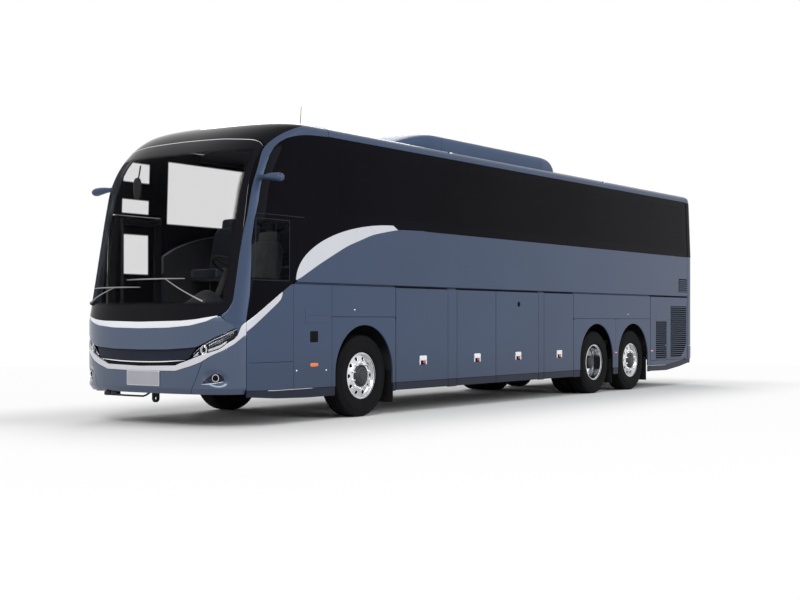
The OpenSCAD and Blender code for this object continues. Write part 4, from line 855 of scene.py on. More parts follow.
# A pull handle: a bright hood over a dark cup, with a coloured reflector in its rear half.
def handleParts(s, y):
    x = s * (1.275 + skinLift)
    z, w, h = handle["z"], handle["wide"] / 2, handle["tall"] / 2
    block = lambda low, high, y0, y1, z0, z1: softBlock((min(x - s * 0.006, x + s * high), y + y0, z + z0),
        (max(x - s * 0.006, x + s * high), y + y1, z + z1), 0.3, 10)
    hood = block(0, 0.016, -w, w, -0.1 * h, h)
    cheeks = [block(0, 0.012, -w, -0.72 * w, -h, 0.4 * h), block(0, 0.012, 0.72 * w, w, -h, 0.4 * h)]
    cup = block(0, 0.005, -w * 0.9, w * 0.9, -h, h * 0.2)
    bar = block(0, 0.013, -0.05 * w, 0.7 * w, -0.75 * h, -0.08 * h)
    return [hood] + cheeks, cup, bar


for s in (1, -1):
    for k, (y0, y1) in enumerate(flapEdges[s], 1):
        bodyName = "luggage_flap_%s_%d" % (sideWord[s], k)
        tag = "%s%d" % (sideWord[s].title(), k)
        piece("flapSkin" + tag, sidePanel(s, y0 + 0.0045, y1 - 0.0045, stripZ + gap, 1.652, skinLift, 0.003,
                0.002, 0.12), "slatePaint", bodyName)
        piece("flapFoot" + tag, sidePanel(s, y0 + 0.0045, y1 - 0.0045, 0.3105, stripZ - gap, skinLift,
                0.003, 0.002, 0.12), "darkStrip", bodyName)
        bezel, cup, bar = handleParts(s, (y0 + y1) / 2)
        piece("flapHandle" + tag, bezel, "silverStrip", bodyName)
        piece("flapCup" + tag, [cup], "gapBlack", bodyName)
        piece("flapBar" + tag, [bar], "amberLens" if k == len(flapEdges[s]) else "redLens", bodyName)
print("sides made")


# Lamps and grille stand behind the skin: a point at ratio r, height z and the given depth.
def noseInside(r, z, depth):
    return nosePoint(r, z) - noseOut(r) * np.asarray(depth)[..., None]


# Ratio at a share of the arc between two arc lengths.
def ratioAt(a0, a1, share):
    return ratioOfArc(a0 + (a1 - a0) * share)


lamp = {"inner": 0.6, "outer": 0.9605, "rim": 0.006, "deep": 0.05,
        "ballR": 0.726, "ballZ": 0.893, "ballWide": 0.036, "ballTall": 0.05}


# The lamp fills the room between the pale stripe and the hood's edge.
def lampLow(r):
    return stripeTop(r) + lamp["rim"]


def lampHigh(r):
    return np.maximum(lampTop(r) - 0.004, lampLow(r) + 0.002)


# A band inside the lamp between two shares of its height, with a saw of small facets in depth.
def lampBand(s, r0, r1, low, high, depth, facet=0.0, cells=17):
    a0, a1 = arcOfRatio(r0), arcOfRatio(r1)

    def surface(u, v):
        r = ratioAt(a0, a1, u if s > 0 else 1 - u)
        share = low(r) * (1 - v) + high(r) * v if callable(low) else low * (1 - v) + high * v
        z = lampLow(r) + (lampHigh(r) - lampLow(r)) * share
        saw = facet * (np.abs((u * cells) % 1 - 0.5) + 0.6 * np.abs(2 * v - 1))
        place = noseInside(r, z, depth + saw)
        place[..., 0] *= s
        return place
    return surface


lensParts, wellParts, cellParts, paleParts, browParts, ballParts, ringParts = [], [], [], [], [], [], []
for s in (1, -1):
    lensParts.append(panel(lampBand(s, lamp["inner"], lamp["outer"], 0.0, 1.0, 0.0), 0.72, 0.1, 60, 8,
            0.004, 0.002))
    wellParts.append(panel(lampBand(s, lamp["inner"] - 0.012, lamp["outer"], -0.12, 1.08, lamp["deep"]),
            0.72, 0.12, 60, 6, 0.004, 0.001))
    wellParts.append(panel(lampBand(s, lamp["inner"], lamp["outer"], 0.3, 0.36, 0.018), 0.7, 0.01, 60, 2,
            0.02, 0.001))
    cellParts.append(panel(lampBand(s, 0.765, 0.945, 0.38, 0.56, 0.022, 0.02, 15), 0.5, 0.03, 92, 5,
            0.003, 0.001))
    cellParts.append(panel(lampBand(s, 0.76, 0.945, 0.62, 0.80, 0.02, 0.018, 17), 0.5, 0.03, 104, 5,
            0.003, 0.001))
    cellParts.append(panel(lampBand(s, 0.625, 0.672, 0.1, 0.55, 0.012, 0.01, 2), 0.05, 0.03, 8, 4,
            0.003, 0.001))
    paleParts.append(panel(lampBand(s, 0.765, 0.9, 0.05, 0.27, 0.01, 0.004, 18), 0.4, 0.02, 60, 4,
            0.003, 0.001))
    browParts.append(panel(lampBand(s, 0.63, 0.955, 0.88, 0.95, 0.006), 0.68, 0.008, 60, 3, 0.004, 0.001))
    # The projector: an upright oval bowl with a bright bezel and a glass ball inside.
    r = np.array(lamp["ballR"])
    out = noseOut(r)
    across = np.array([-out[1], out[0], 0])
    angle = np.linspace(0, 2 * math.pi, 41)[:-1]
    for wide, tall, thick, depth in ((1.0, 1.0, 0.006, 0.01), (0.7, 0.7, 0.004, 0.014)):
        aside = np.outer(np.cos(angle), across) * lamp["ballWide"] * wide
        upward = np.outer(np.sin(angle), [0, 0, 1]) * lamp["ballTall"] * tall
        ring = noseInside(r, np.array(lamp["ballZ"]), np.array(depth)) + aside + upward
        loop = np.concatenate([ring, ring[:1]])
        ringParts.append(onSide(s, tube(loop, thick, 8)))
    block = softBlock((-lamp["ballWide"] * 0.9, -0.02, -lamp["ballTall"] * 0.9),
        (lamp["ballWide"] * 0.9, 0.02, lamp["ballTall"] * 0.9), 1.0, 16)
    turn = np.stack([across, -out, [0, 0, 1]])
    ball = (block[0] @ turn + noseInside(r, np.array(lamp["ballZ"]), np.array(0.03)), block[1])
    ballParts.append(onSide(s, ball))
piece("lampLens", lensParts, "clearLens", "body")
piece("lampWell", wellParts, "lampDark", "body")
piece("lampCells", cellParts, "lampChrome", "body", sharp=20)
piece("lampStrip", paleParts, "whiteLens", "body", sharp=20)
piece("lampBrow", browParts, "lampChrome", "body")
piece("lampRings", ringParts, "chrome", "body")
piece("lampBalls", ballParts, "domeBlack", "body")

# Grille: a satin upper field, a bright line, and fins in the dark slot below it.
grille = {"lineLow": 0.742, "lineTall": 0.012, "sag": 0.03, "deep": 0.012, "fins": 4}


# Height of the bright line, changed towards both ends by a power of the ratio.
def grilleLine(r):
    return grille["lineLow"] + grille["sag"] * (np.abs(r) / 0.54) ** 2.4


# A band across the grille between two height curves, at one depth behind the skin.
def grilleBand(r0, low, high, depth):
    a = arcOfRatio(r0)

    def surface(u, v):
        r = ratioAt(-a, a, u)
        z = low(np.abs(r)) * (1 - v) + high(np.abs(r)) * v
        return noseInside(r, z, depth + 0 * z)
    return surface


# The upper field ends at the lamps' slanting inner edges.
def grilleField(u, v):
    half = np.interp(v, [0, 1], [0.575, 0.655])
    r = ratioOfArc(arcOfRatio(half) * (2 * u - 1))
    low = np.maximum(grilleLine(r) + 0.012, np.where(np.abs(r) > 0.54, stripeTop(np.abs(r)) + 0.004, 0))
    z = low * (1 - v) + (hoodLow(np.abs(r)) + 0.004) * v
    return noseInside(r, z, grille["deep"] + 0.014 * v)


piece("grilleField", panel(grilleField, 1.5, 0.14, 70, 8, 0.01, 0.003), "grilleSatin", "body")
piece("grilleSlot", panel(grilleBand(0.575, lambda r: stripeTop(r) - 0.012, lambda r: grilleLine(r) + 0.02,
        0.055), 1.5, 0.09, 70, 4, 0.01, 0.001), "gapBlack", "body")
finParts = [panel(grilleBand(0.5 + 0.012 * k, lambda r,
        k=k: stripeTop(r) + (grilleLine(r) - stripeTop(r)) * (k + 0.5) / grille["fins"] - 0.002, lambda r,
        k=k: stripeTop(r) + (grilleLine(r) - stripeTop(r)) * (k + 0.5) / grille["fins"] + 0.002, 0.022),
        1.3, 0.005, 60, 2, 0.03, 0.001) for k in range(grille["fins"])]
piece("grilleFins", finParts, "blackTrim", "body")
piece("grilleLine", panel(grilleBand(0.553, grilleLine,
        lambda r: grilleLine(r) + grille["lineTall"] * (1.05 - (r / 0.56) ** 6), 0.001), 1.45, 0.012, 70, 4,
        0.014, 0.003), "chrome", "body")

# Fog lamps: a bezel, a dark bowl and a lens in each dip, facing ahead, with a bright lip below.
fogParts, bowlParts, fogGlass, lipParts = [], [], [], []
for s in (1, -1):
    r = np.array(fog["x"] / shape["half"])
    facing = noseOut(r) * 0.55 + np.array([0, -1.0, 0]) * 0.45
    facing /= np.linalg.norm(facing)
    centre = noseInside(r, np.array(fog["z"]), np.array(0.03))
    bezel = [(-0.012, 0.0), (-0.012, 0.041), (0.004, 0.044), (0.011, 0.042), (0.012, 0.037), (0.004, 0.034),
        (-0.006, 0.033), (-0.008, 0.0)]
    bowl = [(-0.008, 0.0), (-0.008, 0.033), (0.001, 0.033), (0.002, 0.02), (0.0, 0.0)]
    glass = [(-0.002, 0.0), (-0.002, 0.026), (0.004, 0.0255), (0.009, 0.018), (0.011, 0.0)]
    for store, profile in ((fogParts, bezel), (bowlParts, bowl), (fogGlass, glass)):
        store.append(onSide(s, turnedAlong(profile, centre, facing, 40)))
    share = np.linspace(0, 1, 30)
    rs = 0.705 + 0.175 * share
    lipZ = 0.506 + 0.03 * share ** 2.2
    path = noseInside(rs, lipZ, fogDip(arcOfRatio(rs), lipZ) - 0.002)
    lipWide = 0.0042 * np.sin(np.pi * np.clip(share, 0.03, 0.97)) ** 0.7
    lipParts.append(onSide(s, tube(path, lipWide, 8, 1.6)))


# A dark leaf over each dip, between the lip's line and an arched top: painted shade for the recess.
def fogShadeLeaf(s):
    def surface(u, v):
        t = np.clip(u if s > 0 else 1 - u, 0, 1)
        r = 0.72 + 0.165 * t
        arch = 0.105 * np.maximum(np.sin(np.pi * t ** 1.3), 0) ** 0.5
        z = 0.512 + 0.03 * t ** 2.2 + arch * v
        place = noseInside(r, z, fogDip(arcOfRatio(r), z) - 0.0015)
        place[..., 0] *= s
        return place
    return surface


# The leaves carry painted shade in the fog lamps' dips.
piece("fogShadeLeaves", [panel(fogShadeLeaf(s), 0.25, 0.1, 30, 14, 0.003, 0.0008) for s in (1, -1)],
    "darkStrip", "body")
piece("fogBezels", fogParts, "chrome", "body")
piece("fogBowls", bowlParts, "gapBlack", "body")
piece("fogGlass", fogGlass, "domeBlack", "body")
piece("fogLips", lipParts, "paleStripe", "body")

# Blank number plate in a frame, and the pull-out step under the bumper.
plate = {"x": (-0.19, 0.322), "z": (0.484, 0.638), "y": -6.607}


# Corners of a rectangle in x and z with round corners of radius rad.
def roundedRect(x0, x1, z0, z1, rad):
    corners = [(x1 - rad, z0 + rad, -90), (x1 - rad, z1 - rad, 0), (x0 + rad, z1 - rad, 90),
        (x0 + rad, z0 + rad, 180)]
    return [(x + rad * math.cos(a), z + rad * math.sin(a)) for x, z, start in corners
            for a in np.radians(np.linspace(start, start + 90, 7))]


piece("plateFrame", prism(roundedRect(plate["x"][0] - 0.012, plate["x"][1] + 0.012, plate["z"][0] - 0.012,
        plate["z"][1] + 0.012, 0.012), 1, plate["y"] + 0.014, plate["y"] - 0.004, 0.003),
    "plateMetal", "body")
piece("numberPlate", prism(roundedRect(plate["x"][0], plate["x"][1], plate["z"][0], plate["z"][1], 0.01), 1,
        plate["y"], plate["y"] - 0.007, 0.0015), "plateWhite", "body")
stepPath = [(-0.63, -6.44, 0.40), (-0.625, -6.5, 0.362), (-0.6, -6.525, 0.347), (-0.3, -6.54, 0.345),
    (0.0, -6.54, 0.345), (0.03, -6.52, 0.357), (0.035, -6.44, 0.40)]
stepBars = [tube(stepPath, 0.0115, 10)]
for x in (-0.615, -0.5):
    stepBars.append(softBlock((x - 0.05, -6.55, 0.335), (x + 0.05, -6.47, 0.385), 0.3, 12))
piece("stepBracket", stepBars, "blackTrim", "body")
print("front details made")


tail = {"lift": 0.002, "sideFoot": [(4.3, 0.31), (5.32, 0.302), (5.93, 0.36), (6.28, 0.41), (6.6, 0.455)],
        "bumperTop": 0.735, "glass": (-0.958, 0.958, 2.482, 3.328)}
tailRatio = np.sin(np.linspace(0, math.pi / 2, 500)) ** 0.4
tailPlanX = tailRatio * shape["half"]
tailPlanY = (shape["rear"] - shape["tailStart"]) * np.clip(1 - tailRatio ** shape["tailPower"], 0,
    1) ** (1 / shape["tailPower"])
tailArcs = np.concatenate([[0], np.cumsum(np.hypot(np.diff(tailPlanX), np.diff(tailPlanY)))])


# A surface over the tail: u runs by arc length from ratio r0 to r1, v up between the heights.
def tailSurface(r0, r1, low, high):
    a0, a1 = np.sign(r0) * np.interp(abs(r0), tailRatio, tailArcs), np.sign(r1) * np.interp(abs(r1),
        tailRatio, tailArcs)
    lowOf = low if callable(low) else (lambda r: low + 0 * r)
    highOf = high if callable(high) else (lambda r: high + 0 * r)

    def surface(u, v):
        arc = a1 + (a0 - a1) * u
        r = np.sign(arc) * np.interp(np.abs(arc), tailArcs, tailRatio)
        return tailPoint(r, lowOf(r) * (1 - v) + highOf(r) * v)
    return surface


lidHalf, glassHalf = 0.966 / shape["half"], 0.966 / 1.24
tailParts = []
for r0, r1, low, high, rows in ((lidHalf, 1.0, 0.741, 1.69, 12), (-1.0, -lidHalf, 0.741, 1.69, 12),
        (-1.0, 1.0, 1.694, 2.474, 12), (glassHalf, 1.0, 2.478, 3.338, 12),
        (-1.0, -glassHalf, 2.478, 3.338, 12)):
    tailParts.append(panel(tailSurface(r0, r1, low, high), 2.5 * abs(r1 - r0), high - low,
            max(14, int(40 * abs(r1 - r0))), rows, 0.02, 0.003, tail["lift"]))


# The cap over the tail: rows crowd towards the crown, where the sheet closes on the roof.
def capSurface(u, v):
    z = 3.342 + (shape["roof"] - 3.342) * (1 - (1 - v) ** 2)
    arc = tailArcs[-1] * (1 - 2 * u)
    r = np.sign(arc) * np.interp(np.abs(arc), tailArcs, tailRatio)
    return tailPoint(r, np.minimum(z, shape["roof"] - 1e-9))


tailParts.append(panel(capSurface, 2.6, 0.4, 60, 24, 0.02, 0.003, tail["lift"]))
piece("tailSkin", tailParts, "slatePaint", "body")
# The dark band carried round each rear corner.
tailCorner = (1 - 0.62 ** shape["tailPower"]) ** (1 / shape["tailPower"])
piece("tailGlass", [panel(tailSurface(a, b, 2.434, 3.476), 0.5, 1.04, 12, 30, 0.008, 0.002, 0.006) for a,
        b in ((tailCorner, 1.0), (-1.0, -tailCorner))], "blackGlass", "body")
footOf = lambda r: np.interp(np.abs(r), [0.6, 1.0], [0.455, 0.41])
piece("tailBumper", panel(tailSurface(-1.0, 1.0, lambda r: footOf(r) + 0.08, tail["bumperTop"]), 2.6, 0.25,
        60, 8, 0.03, 0.008, 0.006), "slatePaint", "body")
piece("tailUndercut", panel(tailSurface(-1.0, 1.0, footOf, lambda r: footOf(r) + 0.077), 2.6, 0.08, 60, 4,
        0.03, 0.004, -0.006), "blackTrim", "body")

rearPane = panel(tailSurface(-glassHalf + 0.006, glassHalf - 0.006, tail["glass"][2], tail["glass"][3]),
    1.92, 0.85, 40, 20, 0.006, 0.003, 0.001)
piece("rearGlass", rearPane, "rearGlass", "body")


# Seal round the rear pane.
def rectLoop(r, low, high, rad=0.06):
    corners = roundedRect(-r, r, low, high, rad)
    path = np.array([tailPoint(np.array(x / float(halfWidth(z))), np.array(z)) for x, z in corners])
    return np.concatenate([path, path[:1]])


piece("rearSeal", tube(rectLoop(0.968, 2.474, 3.336), 0.007, 8), "blackTrim", "body")

# Engine lid with a louvred field and a pull handle; it rides on its own hinge.
lid = {"slots": 11, "half": 0.72, "low": 0.98, "pitch": 0.042, "slat": 0.026}
lidR = lambda x: x / shape["half"]
lidParts = [panel(tailSurface(-lidR(0.956), lidR(0.956), a, b), 1.9, b - a, 40, rows, 0.016, 0.003, 0.004)
    for a, b, rows in ((0.766, lid["low"] - 0.01, 6),
        (lid["low"] + lid["slots"] * lid["pitch"] + 0.002, 1.652, 6))]
for x0, x1 in ((-0.956, -lid["half"]), (lid["half"], 0.956)):
    lidParts.append(panel(tailSurface(lidR(x0), lidR(x1), lid["low"] - 0.01,
            lid["low"] + lid["slots"] * lid["pitch"] + 0.002), 0.24, 0.46, 8, 8, 0.016, 0.001, 0.004))


for k in range(lid["slots"]):
    z0 = lid["low"] + k * lid["pitch"]
    lidParts.append(panel(tailSurface(-lidR(lid["half"]), lidR(lid["half"]), z0, z0 + lid["slat"]), 1.45,
            lid["slat"], 24, 3, 0.012, 0.004, 0.004))
piece("lidSkin", lidParts, "slatePaint", "engine_lid")
piece("lidBacking", panel(tailSurface(-lidR(lid["half"] + 0.02), lidR(lid["half"] + 0.02),
        lid["low"] - 0.015, lid["low"] + 0.47), 1.5, 0.48, 24, 4, 0.004, 0.001, -0.012), "gapBlack",
    "engine_lid")
piece("lidHandle", [softBlock((-0.09, 6.588, 0.845), (0.09, 6.612, 0.89), 0.35, 12)], "blackTrim",
    "engine_lid")

# Tail lamps: a dark capsule with three lit bands, and a red reflector in the bumper.
lampParts, bezelParts, amberParts, whiteParts = [], [], [], []
for s in (1, -1):
    r0, r1 = 1.052 / shape["half"], 1.178 / shape["half"]
    span = (r0, r1) if s > 0 else (-r1, -r0)
    bezelParts.append(panel(tailSurface(span[0], span[1], 1.002, 1.898), 0.14, 0.9, 10, 30, 0.02,
            0.012, 0.010))
    inset = (r1 - r0) * 0.17
    for store, low, high in ((lampParts, 1.03, 1.3), (amberParts, 1.315, 1.47), (lampParts, 1.485, 1.74),
            (whiteParts, 1.755, 1.87)):
        store.append(panel(tailSurface(span[0] + inset, span[1] - inset, low, high), 0.1, high - low, 8, 10,
                0.01, 0.006, 0.016))
    store = lampParts
    store.append(panel(tailSurface(*((0.60, 0.70) if s > 0 else (-0.70, -0.60)), 0.60, 0.65), 0.13, 0.05, 8,
            4, 0.01, 0.004, 0.014))
piece("tailLampBezels", bezelParts, "domeBlack", "body")
piece("tailLampRed", lampParts, "redLens", "body")
piece("tailLampAmber", amberParts, "amberLens", "body")
piece("tailLampWhite", whiteParts, "whiteLens", "body")
piece("rearPlate", prism(roundedRect(-0.26, 0.26, 0.50, 0.61, 0.01), 1, 6.604, 6.612, 0.002),
    "plateWhite", "body")

# Radiator door on the left: two louvred fields in a skin with plain borders.
rad = {"y": (4.6185, 6.2675), "z": (0.494, 1.652),
    "fields": [(4.85, 5.32, 0.515, 1.21), (5.5, 6.235, 0.53, 1.49)], "pitch": 0.0372, "slat": 0.013}


# Lower rear corner of the second field is cut off on a slant with a round end.
def fieldRear(y1, z, cut):
    if not cut:
        return y1 + 0 * z
    return y1 - 0.26 * np.clip((0.86 - z) / 0.32, 0, 1) ** 2.2


doorParts, slatParts, backParts = [], [], []
(a0, a1, az0, az1), (b0, b1, bz0, bz1) = rad["fields"]
radSkin = lambda y0, y1, z0, z1: sidePanel(1, y0, y1, z0, z1, skinLift, 0.004, 0.002, 0.1)
doorParts += [radSkin(rad["y"][0], a0, rad["z"][0], rad["z"][1]), radSkin(a0, a1, az1, rad["z"][1]),
    radSkin(a1, b0, rad["z"][0], rad["z"][1]), radSkin(b0, b1, bz1, rad["z"][1]),
    radSkin(b1, rad["y"][1], rad["z"][0], rad["z"][1]), radSkin(a0, a1, rad["z"][0], az0),
    radSkin(b0, b1, rad["z"][0], bz0)]


# Skin that fills the corner cut off from the second field.
def cutCorner(u, v):
    z = bz0 + (0.87 - bz0) * v
    y0 = fieldRear(b1, z, True)
    y = y0 * (1 - u) + b1 * u
    return sidePoint(1, y, z)


doorParts.append(panel(cutCorner, 0.25, 0.34, 10, 12, 0.004, 0.001, skinLift))
for y0, y1, z0, z1, cut in ((a0, a1, az0, az1, False), (b0, b1, bz0, bz1, True)):
    backParts.append(sidePanel(1, y0 - 0.01, y1 + 0.005, z0 - 0.01, z1 + 0.01, -0.022, 0.004, 0.001, 0.2))
    for k in range(int((z1 - z0) / rad["pitch"]) + 1):
        z = z0 + 0.004 + k * rad["pitch"]
        if z + rad["slat"] > z1:
            break
        slatParts.append(sidePanel(1, y0 + 0.003, float(fieldRear(y1, np.array(z + 0.01), cut)) - 0.003, z,
                z + rad["slat"], 0.004, 0.016, 0.005, 0.3, 3))
piece("radiatorSkin", doorParts, "slatePaint", "radiator_door")
piece("radiatorSlats", slatParts, "slatePaint", "radiator_door")
piece("radiatorBacking", backParts, "gapBlack", "radiator_door")
# Under the door and round the tail's side, the foot rises towards the back.
sideFoot = lambda y: np.interp(y, [p[0] for p in tail["sideFoot"]], [p[1] for p in tail["sideFoot"]])
for s in (1, -1):
    stripTop = lambda y: sideFoot(y) + 0.095
    rearParts = [sidePanel(s, 4.6085 + gap, 6.2785, lambda y: stripTop(y) + 0.004,
            0.4885 if s > 0 else 1.652, skinLift, 0.02, 0.002, 0.06, 4 if s > 0 else 14)]
    piece("rearSill%s" % sideWord[s].title(), rearParts, "slatePaint", "body")
    piece("rearFoot%s" % sideWord[s].title(), sidePanel(s, 4.6085 + gap, 6.2785, sideFoot, stripTop,
            skinLift, 0.02, 0.002, 0.06, 4), "darkStrip", "body")
print("tail made")


# Tubes on the side's surface from corner to corner, moved by off along X.
def sideTubes(s, corners, radius, count, steps, off):
    t = np.linspace(0, 1, steps)
    return [tube(sidePoint(s, ya + (yb - ya) * t, za + (zb - za) * t) + np.array([off, 0, 0]), radius,
            count) for (ya, za), (yb, zb) in zip(corners[:-1], corners[1:])]


door = {"y": (-5.956, -5.064), "z": (0.334, 2.556), "sill": 1.155}
doorSkin = [sidePanel(-1, door["y"][0], door["y"][1], stripZ + gap, door["sill"], skinLift, 0.012,
        0.003, 0.08, 14)]
piece("doorSkin", doorSkin, "slatePaint", "passenger_door")
piece("doorFoot", sidePanel(-1, door["y"][0], door["y"][1], door["z"][0], stripZ - gap, skinLift, 0.012,
        0.003, 0.08, 4), "darkStrip", "passenger_door")
piece("doorGlass", sidePanel(-1, door["y"][0], door["y"][1], door["sill"] + 0.005, door["z"][1], 0.002,
        0.006, 0.003, 0.05, 30), "doorGlass", "passenger_door")
doorRim = [(door["y"][0] + 0.01, 0.345), (door["y"][1] - 0.01, 0.345), (door["y"][1] - 0.01, 2.545),
    (door["y"][0] + 0.01, 2.545), (door["y"][0] + 0.01, 0.345)]
piece("doorSeal", sideTubes(-1, doorRim, 0.007, 8, 24, 0.006), "softRubber", "passenger_door")
piece("doorHandle", [softBlock((-1.291, -5.2, 0.98), (-1.272, -5.11, 1.03), 0.4, 12),
        softBlock((-1.2855, -5.215, 0.965), (-1.2745, -5.095, 1.045), 0.3, 12)], "blackTrim",
    "passenger_door")
print("door made")

# Air-conditioner pod: its crown rises on a slope from the front and drops more steeply behind,
# over a superellipse in cross-section.
pod = {"half": 0.957, "y": (-2.773, 1.652), "rise": 1.0, "fall": 0.4, "high": 0.245, "base": 3.612,
    "power": 8, "seams": (-1.72, 1.2)}


# Height of the pod's crown over y: a quarter sine in front, a superellipse behind.
def podHeight(y):
    front = np.clip((y - pod["y"][0]) / pod["rise"], 0, 1)
    back = np.clip((pod["y"][1] - y) / pod["fall"], 0, 1)
    drop = 0.2 + 0.8 * (1 - (1 - back) ** 3) ** (1 / 2.2)
    return pod["high"] * (0.08 + 0.92 * np.sin(front * math.pi / 2)) * drop


# Half width of the pod over y: it narrows a little towards both ends.
def podHalf(y):
    front = np.clip((y - pod["y"][0]) / 0.9, 0, 1)
    back = np.clip((pod["y"][1] - y) / 0.45, 0, 1)
    return pod["half"] * (0.86 + 0.14 * np.sin(front * math.pi / 2)) * (0.95 + 0.05 * back)


# Pod between two lengths: v goes back, u over the crown through the superellipse's angle.
def podSurface(y0, y1, a0=-1.0, a1=1.0, swell=0.0):
    def surface(u, v):
        y = y0 + (y1 - y0) * v
        angle = (a0 + (a1 - a0) * u) * math.pi / 2
        bend = lambda a: np.sign(a) * np.abs(a) ** (2 / pod["power"])
        wide = (podHalf(y) + swell) * bend(np.sin(angle))
        high = (podHeight(y) + 0.022 + swell) * bend(np.abs(np.cos(angle)))
        return np.stack([wide, y, pod["base"] + high], -1)
    return surface


podEdges = [pod["y"][0]] + list(pod["seams"]) + [pod["y"][1]]
podParts = []
for y0, y1 in zip(podEdges[:-1], podEdges[1:]):
    podParts.append(panel(podSurface(y0 + 0.002, y1 - 0.002), 2.2, y1 - y0, 60,
            max(8, int((y1 - y0) / 0.07)), 0.012, 0.003))
piece("podShell", podParts, "podPaint", "body")
# Fan cowls on its crown, with a dark fan in each.
fanParts, fanDark = [], []
for y in (-1.2, -0.25, 0.7):
    for x in (-0.4, 0.4):
        z = pod["base"] + float(podHeight(np.array(y))) + 0.021
        fanParts.append(turnedAlong([(0.0, 0.255), (0.014, 0.25), (0.017, 0.243), (0.014, 0.236),
                (0.0, 0.232), (-0.004, 0.24), (0.0, 0.255)], (x, y, z), (0, 0, 1), 40))
        fanDark.append(turnedAlong([(-0.004, 0.0), (-0.004, 0.24), (0.006, 0.24), (0.006, 0.0)], (x, y, z),
                (0, 0, 1), 40))
        for r in (0.06, 0.11, 0.16, 0.205):
            fanParts.append(turnedAlong([(0.006, r - 0.004), (0.006, r + 0.004), (0.012, r + 0.003),
                    (0.012, r - 0.003), (0.006, r - 0.004)], (x, y, z), (0, 0, 1), 40))
        for k in range(4):
            a = math.pi / 4 * k
            c, sn = 0.236 * math.cos(a), 0.236 * math.sin(a)
            fanParts.append(tube([(x - c, y - sn, z + 0.012), (x, y, z + 0.013),
                    (x + c, y + sn, z + 0.012)], 0.004, 6))
piece("podCowls", fanParts, "blackTrim", "body")
piece("podFans", fanDark, "gapBlack", "body")

whip = [(0, -3.72, 3.65), (0, -3.716, 3.7), (0, -3.70, 3.9), (0, -3.681, 4.1)]
piece("aerialMast", [tube(whip, [0.0055, 0.005, 0.004, 0.003], 8),
        turnedAlong([(-0.005, 0.0), (-0.005, 0.03), (0.006, 0.03), (0.02, 0.022), (0.036, 0.012),
        (0.045, 0.0)], (0, -3.72, 3.643), (0, 0, 1), 24)], "softRubber", "body")
hatch = {"half": 0.36, "y": (-3.15, 3.2), "z": (3.632, 3.672)}
piece("roofHatches", [softBlock((-hatch["half"], y - hatch["half"], hatch["z"][0]),
                                (hatch["half"], y + hatch["half"], hatch["z"][1]), 0.22, 16)
                      for y in hatch["y"]], "roofPaint", "body")
markParts, markFeet = [], []
for s in (1, -1):
    for y in (-1.86, 2.9):
        base = sidePoint(s, np.array(y), np.array(3.575))
        markFeet.append(softBlock(base - (0.014, 0.055, 0.014), base + (0.014, 0.055, 0.016), 0.5, 10))
        markParts.append(softBlock(base + (s * 0.004 - 0.012, -0.04, -0.009),
                base + (s * 0.004 + 0.014, 0.04, 0.012), 0.5, 10))
piece("markerFeet", markFeet, "blackTrim", "body")
piece("markerLenses", markParts, "whiteLens", "body")
print("roof fittings made")

wheel = {"r": 0.522, "tread": 0.012, "holes": 10, "holeAt": 0.222, "holeR": 0.024,
         "hubR": 0.15, "discR": 0.262, "blocks": 64}

# Tyre profile, outer side first: bead, swelling wall with two raised rings, shoulder, tread with
# grooves, and back; then the inner liner closes it.
wallX = np.array([0.108, 0.122, 0.127, 0.132, 0.137, 0.1385, 0.1415, 0.1385, 0.142, 0.1445, 0.145, 0.1445,
        0.142, 0.1455, 0.1415, 0.139, 0.133, 0.126])
wallR = np.array([0.284, 0.286, 0.292, 0.302, 0.316, 0.322, 0.326, 0.330, 0.345, 0.375, 0.40, 0.425, 0.440,
        0.4445, 0.449, 0.462, 0.49, 0.508])
treadX, treadR = [0.12, 0.112], [0.5165, 0.5195]
for groove in (0.078, 0.026, -0.026, -0.078):
    treadX += [groove + 0.0075, groove + 0.0055, groove - 0.0055, groove - 0.0075]
    treadR += [wheel["r"], wheel["r"] - wheel["tread"], wheel["r"] - wheel["tread"], wheel["r"]]
treadX += [-0.112, -0.12]
treadR += [0.5195, 0.5165]
tyreX = np.concatenate([wallX, treadX, -wallX[::-1], [-0.10, -0.11, -0.10, 0.10, 0.11, 0.10, 0.108]])
tyreR = np.concatenate([wallR, treadR, wallR[::-1], [0.292, 0.36, 0.45, 0.45, 0.36, 0.292, 0.284]])


# The lathe profile goes round; where the rubber is near the shoulder, every other step sinks to
# cut the tread's side blocks.
def tyrePart(centre):
    count = wheel["blocks"] * 4
    angle = np.linspace(0, 2 * math.pi, count, endpoint=False)
    cut = (np.arange(count) % 4 == 0) * 1.0
    shoulder = np.clip(1 - np.abs(tyreR - 0.514) / 0.012, 0, 1) * (np.abs(tyreX) > 0.105)
    r = tyreR[:, None] - 0.009 * shoulder[:, None] * cut[None]
    x = np.broadcast_to(tyreX[:, None], r.shape)
    points = np.stack([x, r * np.cos(angle), r * np.sin(angle)], -1).reshape(-1, 3)
    return points + centre, gridFaces(len(tyreX), count, False, True)


# X of the disc's face at radius r, over the nut ring, the hand holes and the rim's root.
def discFace(r, deep):
    return deep + np.interp(r, [0.10, 0.15, 0.175, 0.20, 0.24, 0.262, 0.27],
        [0.0, 0.0, -0.004, -0.012, -0.022, -0.026, -0.028])


